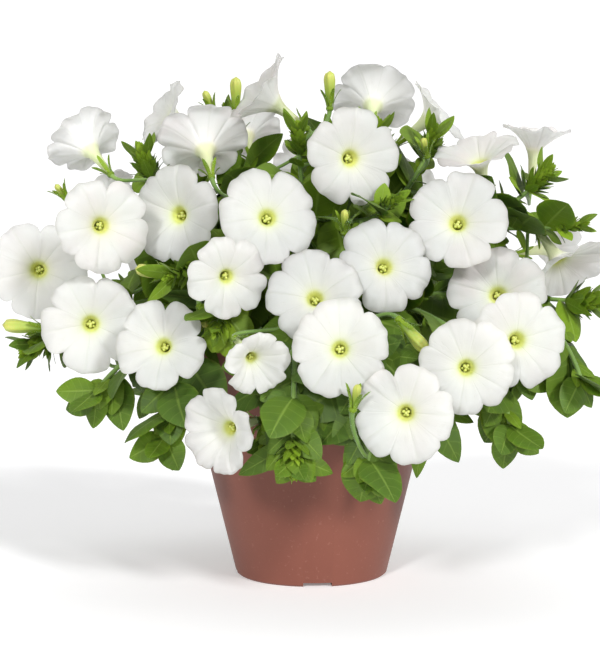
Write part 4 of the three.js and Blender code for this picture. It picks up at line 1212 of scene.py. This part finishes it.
def bloom_placer(bloom):
    """A function that rolls the flat sheet into this bloom, over the rim, limb and mouth of its solid."""
    rim = sorted((turn, radius, height) for radius, turn, height in bloom["rim"])
    notch = min(range(4), key=lambda k: sum(radius for turn, radius, height in rim[k::4]))
    first_notch = rim[notch][0]
    notch_radius = np.mean([radius for turn, radius, height in rim[notch::4]])
    lobe_radii = [(turn, radius) for turn, radius, height in rim if radius > notch_radius * 1.06]
    notch_depth = 1 - 0.97 * notch_radius / np.mean([radius for turn, radius in lobe_radii])
    lobe_ring = smooth_ring(lobe_radii, 9)
    rim_ring = smooth_ring([(turn, height) for turn, radius, height in rim], 7)
    limb_ring = smooth_ring(sorted((turn, height) for radius, turn, height in bloom["limb"]), 12)
    lobes = [(first_notch + 36 + 72 * i, value) for i, value in enumerate(draw.uniform(-1, 1, 5))]
    curl_ring = smooth_ring(sorted((turn % 360, 1.2 + 2.2 * value) for turn, value in lobes), 14)
    lean_ring = smooth_ring(sorted((turn % 360, draw.uniform(-3, 3)) for turn, value in lobes), 18)
    fold_ring = smooth_ring([(18 + 36 * i, value) for i, value in enumerate(draw.uniform(0.5, 1.5, 10))], 10)
    aside = 1 - abs(bloom["axis"].y)
    laps = draw.choice([-1, 1], 5) * draw.uniform(0.3, 0.9, 5) * (1 - 0.6 * aside)
    cut_ring = smooth_ring(sorted(((turn + 36) % 360, draw.uniform(0.6, 1.7)) for turn, value in lobes), 6)
    cup = 2 + 6 * aside**2
    waves = 1 + 0.8 * aside
    fine = 0.22 * (1 - aside)
    size = bloom["size"]
    phases = draw.uniform(0, 2 * math.pi, 6)
    seat, axis, level, beside = (np.array(bloom[key]) for key in ("seat", "axis", "level", "beside"))

    def place(points):
        x, y, z = points.T
        turn = 360 * x + first_notch
        angle = np.radians(turn)
        s = np.where(y <= 2, np.clip(y - 1, 0, 1), np.clip(3 - y, 0, 1))
        across = (360 * x % 72) / 36 - 1
        near_notch = (360 * x + 36) % 72 - 36
        lap = laps[np.round(5 * x).astype(int) % 5] * np.tanh(near_notch / 1.5)
        lap = lap * np.exp(-np.abs(near_notch) / 9)
        cut = notch_depth * round_value(turn, cut_ring) * np.abs(across) ** 6
        edge = round_value(turn, lobe_ring) * (1.05 - cut) + 0.5 * np.exp(-((across / 0.16) ** 2))
        edge = edge + 0.35 * np.sin(7 * angle + phases[0]) + 0.2 * np.sin(23 * angle + phases[1])
        edge = edge + 0.3 * np.sin(12 * angle + phases[5])
        inner_edge = throat_radii[-1] * size
        radius = inner_edge + (edge * (1 - 0.012 * cup) - inner_edge) * s
        high, middle = round_value(turn, rim_ring), round_value(turn, limb_ring)
        height = 4 * middle * s * (1 - s) + high * (2 * s * s - s)
        pillow = np.sin(math.pi * np.abs(across)) * round_value(turn, fold_ring) * 0.65
        rib = 0.3 * np.exp(-((across / 0.07) ** 2)) + 0.25 * np.exp(-(((np.abs(across) - 1) / 0.07) ** 2))
        height = height + (pillow - rib) * np.sin(0.5 * math.pi * s) ** 1.3 * (1.15 - 0.5 * s)
        ruffle = 0.7 * np.sin(8 * angle + phases[2]) + 0.45 * np.sin(13 * angle + phases[3])
        height = height + (ruffle + fine * np.sin(25 * angle + phases[4])) * s**4 * waves
        height = height + round_value(turn, lean_ring) * s**2 + lap * s**5 + cup * s**1.3
        height = height - round_value(turn, curl_ring) * np.clip((s - 0.62) / 0.38, 0, 1) ** 2
        wall = petal_thickness / 2 * np.sqrt(np.clip(1 - s**10, 0, 1))
        height = height + np.where(y <= 2, wall, -wall)
        up_throat, down = np.clip(y, 0, 1), np.clip(y - 3, 0, 1)
        inner_radius = profile_value(up_throat, throat_radii) * size
        inner_height = petal_thickness / 2 - profile_value(up_throat, throat_depths)
        outer_radius = profile_value(down, tube_radii) * (1 + (size - 1) * (1 - down))
        outer_height = -profile_value(down, tube_depths)
        back = np.clip(y - 2, 0, 1) ** 6 * (y < 3)
        radius = radius * (1 - back) + (tube_radii[0] * size) * back
        height = height * (1 - back) - tube_depths[0] * back
        radius = np.where(y <= 1, inner_radius, np.where(y >= 3, outer_radius, radius))
        height = np.where(y <= 1, inner_height, np.where(y >= 3, outer_height, height))
        return (seat + np.outer(tube_length + height, axis) + np.outer(radius * np.cos(angle), level)
                + np.outer(radius * np.sin(angle), beside)) * mm

    return place


def petal_finish():
    finish = Finish(
        "petal_skin",
        Roughness=0.55,
        Specular_IOR_Level=0.3,
        Sheen_Weight=0.1,
        Subsurface_Weight=0.7,
        Subsurface_Scale=4 * mm,
        Subsurface_Radius=(1.0, 0.95, 0.85),
    )
    turn, down = finish.chart()
    tone = finish.tone()
    shade = finish.ramp(down, [
        # Painted light: the throat, up to 0.215, is painted lighter than its olive colour, and lightest where
        # it is deepest, against the shade inside it.
        (0.0, (0.60, 0.64, 0.10, 1)),
        (0.16, (0.68, 0.72, 0.16, 1)),
        (0.215, (0.53, 0.57, 0.17, 1)),
        (0.243, (0.56, 0.60, 0.36, 1)),
        (0.262, (0.59, 0.61, 0.48, 1)),
        (0.30, (0.61, 0.615, 0.545, 1)),
        (0.37, (0.62, 0.62, 0.57, 1)),
        (0.495, (0.635, 0.625, 0.59, 1)),
        # Painted light: the outer face, from 0.52, is painted far lighter than the inner face. This stands in
        # for the light that shines through the petals onto their undersides.
        (0.52, (0.89, 0.88, 0.85, 1)),
        (0.70, (0.87, 0.87, 0.80, 1)),
        (0.78, (0.66, 0.70, 0.47, 1)),
        (1.0, (0.46, 0.56, 0.22, 1)),
    ])
    lines = finish.math("PINGPONG", finish.times(turn, 5.0), 0.5)
    middle = finish.stretch(lines, 0.455, 0.495)
    notch = finish.stretch(lines, 0.03, 0.005)
    fan = finish.add("CombineXYZ", {"X": finish.times(turn, 110.0), "Y": finish.times(down, 16.0)})
    threads = finish.noise(1.0, 2.0, fan.outputs["Vector"])
    veins = finish.math("MAXIMUM", middle, finish.times(notch, 0.7))
    veins = finish.math("MAXIMUM", veins, finish.stretch(threads, 0.55, 0.8, 0.0, 0.5))
    shade = finish.blend(finish.times(veins, 0.16), shade, (0.52, 0.56, 0.42, 1))
    patches = finish.noise(45.0, 1.0)
    warm = finish.stretch(patches, 0.4, 0.65)
    blush = finish.times(finish.math("MULTIPLY_ADD", tone, 0.8, 0.15), warm)
    shade = finish.blend(blush, shade, (1.0, 0.88, 0.905, 1), "MULTIPLY")
    finish.give("Base Color", shade)
    soft = finish.noise(130.0, 2.0)
    relief = finish.math("MULTIPLY_ADD", soft, 0.6, finish.times(veins, -0.5))
    finish.relief(0.4, 0.7, relief)
    return finish


draw = np.random.default_rng(23)
sheet = model_sheet()
petal_skin = petal_finish()
for bloom in blooms:
    corolla = fused_copies(sheet, [(bloom_placer(bloom), draw.uniform(0, 1) ** 2)])
    make_active(corolla)
    weld(0.001 * mm)
    finish_piece(corolla, f"corolla_{bloom['number']:02d}", petal_skin, "petal", bloom["node"])
bpy.data.objects.remove(sheet)

# The stamens: in each throat five yellow-green anthers stand round a round, sticky green stigma, each on
# a thin thread that grew from the foot of the tube.
stamen_spots = [  # the stigma, then the anthers: each one's turn, distance from the axis, height and size
    (0, 0.3, -2.8, 1.2), (10, 1.7, -3.6, 1.05), (88, 1.4, -3.1, 1.1), (150, 1.9, -4.8, 0.9),
    (222, 1.5, -3.3, 1.1), (305, 1.8, -5.1, 0.95),
]


def model_stamens():
    """The stigma and anthers of one bloom, in millimetres, with the mouth of the throat at z 0."""
    parts = []
    for i, (turn, out, z, size) in enumerate(stamen_spots):
        x, y = out * math.cos(math.radians(turn)), out * math.sin(math.radians(turn))
        bpy.ops.mesh.primitive_uv_sphere_add(segments=10, ring_count=7, radius=size, location=(x, y, z))
        bpy.ops.transform.resize(value=(1, 1, 0.7 if i == 0 else 1.3))
        parts.append(bpy.context.object)
        middle = (0.6 * x, 0.6 * y, z - 7.5)
        bpy.ops.mesh.primitive_cylinder_add(vertices=6, radius=0.3, depth=15, location=middle)
        parts.append(bpy.context.object)
    deselect_all()
    for part in parts:
        part.select_set(True)
    bpy.context.view_layer.objects.active = parts[0]
    bpy.ops.object.join()
    bpy.ops.object.transform_apply(location=True, rotation=True, scale=True)
    return bpy.context.object


def stamen_finish():
    finish = Finish("stamen_skin", Roughness=0.45, Subsurface_Weight=0.1)
    grains = finish.noise(900.0, 2.0)
    shade = finish.ramp(grains, [(0.35, (0.44, 0.47, 0.08, 1)), (0.65, (0.60, 0.61, 0.18, 1))])
    finish.give("Base Color", shade)
    return finish


stamen_model = model_stamens()
stamen_skin = stamen_finish()
for bloom in blooms:
    turned = Quaternion(bloom["axis"], draw.uniform(0, 2 * math.pi))
    axes = np.array([turned @ bloom["level"], turned @ bloom["beside"], bloom["axis"]])
    mouth = bloom["seat"] + bloom["axis"] * tube_length
    stamens = fused_copies(stamen_model, [(stood(mouth, axes, bloom["size"]), 0.5)])
    finish_piece(stamens, f"stamens_{bloom['number']:02d}", stamen_skin, "petal", bloom["node"])
bpy.data.objects.remove(stamen_model)

# The studio: a plain white floor under a white surround, with a lamp in front to the right and one to the
# left, broad ones overhead and level in front, and the camera level with the lower leaves.
fill_light, seen_light = 0.33, 1.1
lamps = (  # each one's turn from -Y, tilt and width in degrees, and its strength
    ("right_lamp", 36, 26, 9, 2.35), ("left_lamp", -22, 23, 9, 1.75), ("top_lamp", 180, 70, 50, 0.45),
    ("front_lamp", 0, -4, 40, 0.5),
)
bpy.ops.mesh.primitive_plane_add(size=16, location=(0, 4, 0))
floor = bpy.context.object
floor.name = "floor"
edit_all()
bpy.ops.mesh.subdivide(number_cuts=3)
end_edit()
white = Finish("floor_paint", Roughness=0.9, Specular_IOR_Level=0.1)
white.give("Base Color", (0.95, 0.95, 0.955, 1))
white.give("Emission Color", (1, 1, 1, 1))
white.give("Emission Strength", 0.19)
floor.data.materials.append(white.material)

surround = bpy.data.worlds.new("surround")
surround.use_nodes = True
tree = surround.node_tree
pick = tree.nodes.new("ShaderNodeMixShader")
tree.links.new(tree.nodes.new("ShaderNodeLightPath").outputs["Is Camera Ray"], pick.inputs["Fac"])
for slot, strength in ((1, fill_light), (2, seen_light)):
    glow = tree.nodes.new("ShaderNodeBackground")
    glow.inputs["Color"].default_value = (1, 1, 1, 1)
    glow.inputs["Strength"].default_value = strength
    tree.links.new(glow.outputs["Background"], pick.inputs[slot])
tree.links.new(pick.outputs["Shader"], tree.nodes["World Output"].inputs["Surface"])
bpy.context.scene.world = surround
bpy.context.scene.view_settings.view_transform = "Standard"

for name, turn, tilt, width, strength in lamps:
    lamp = bpy.data.lights.new(name, "SUN")
    lamp.energy = strength
    lamp.angle = math.radians(width)
    holder = bpy.data.objects.new(name, lamp)
    holder.rotation_euler = (-facing(turn, tilt)).to_track_quat("-Z", "Y").to_euler()
    bpy.context.scene.collection.objects.link(holder)

camera = bpy.data.objects.new("camera", bpy.data.cameras.new("camera"))
camera.location = (-0.008, -0.788, 0.169)
camera.rotation_euler = (math.radians(90), 0, 0)
camera.data.lens = 61.09
bpy.context.scene.collection.objects.link(camera)
bpy.context.scene.camera = camera
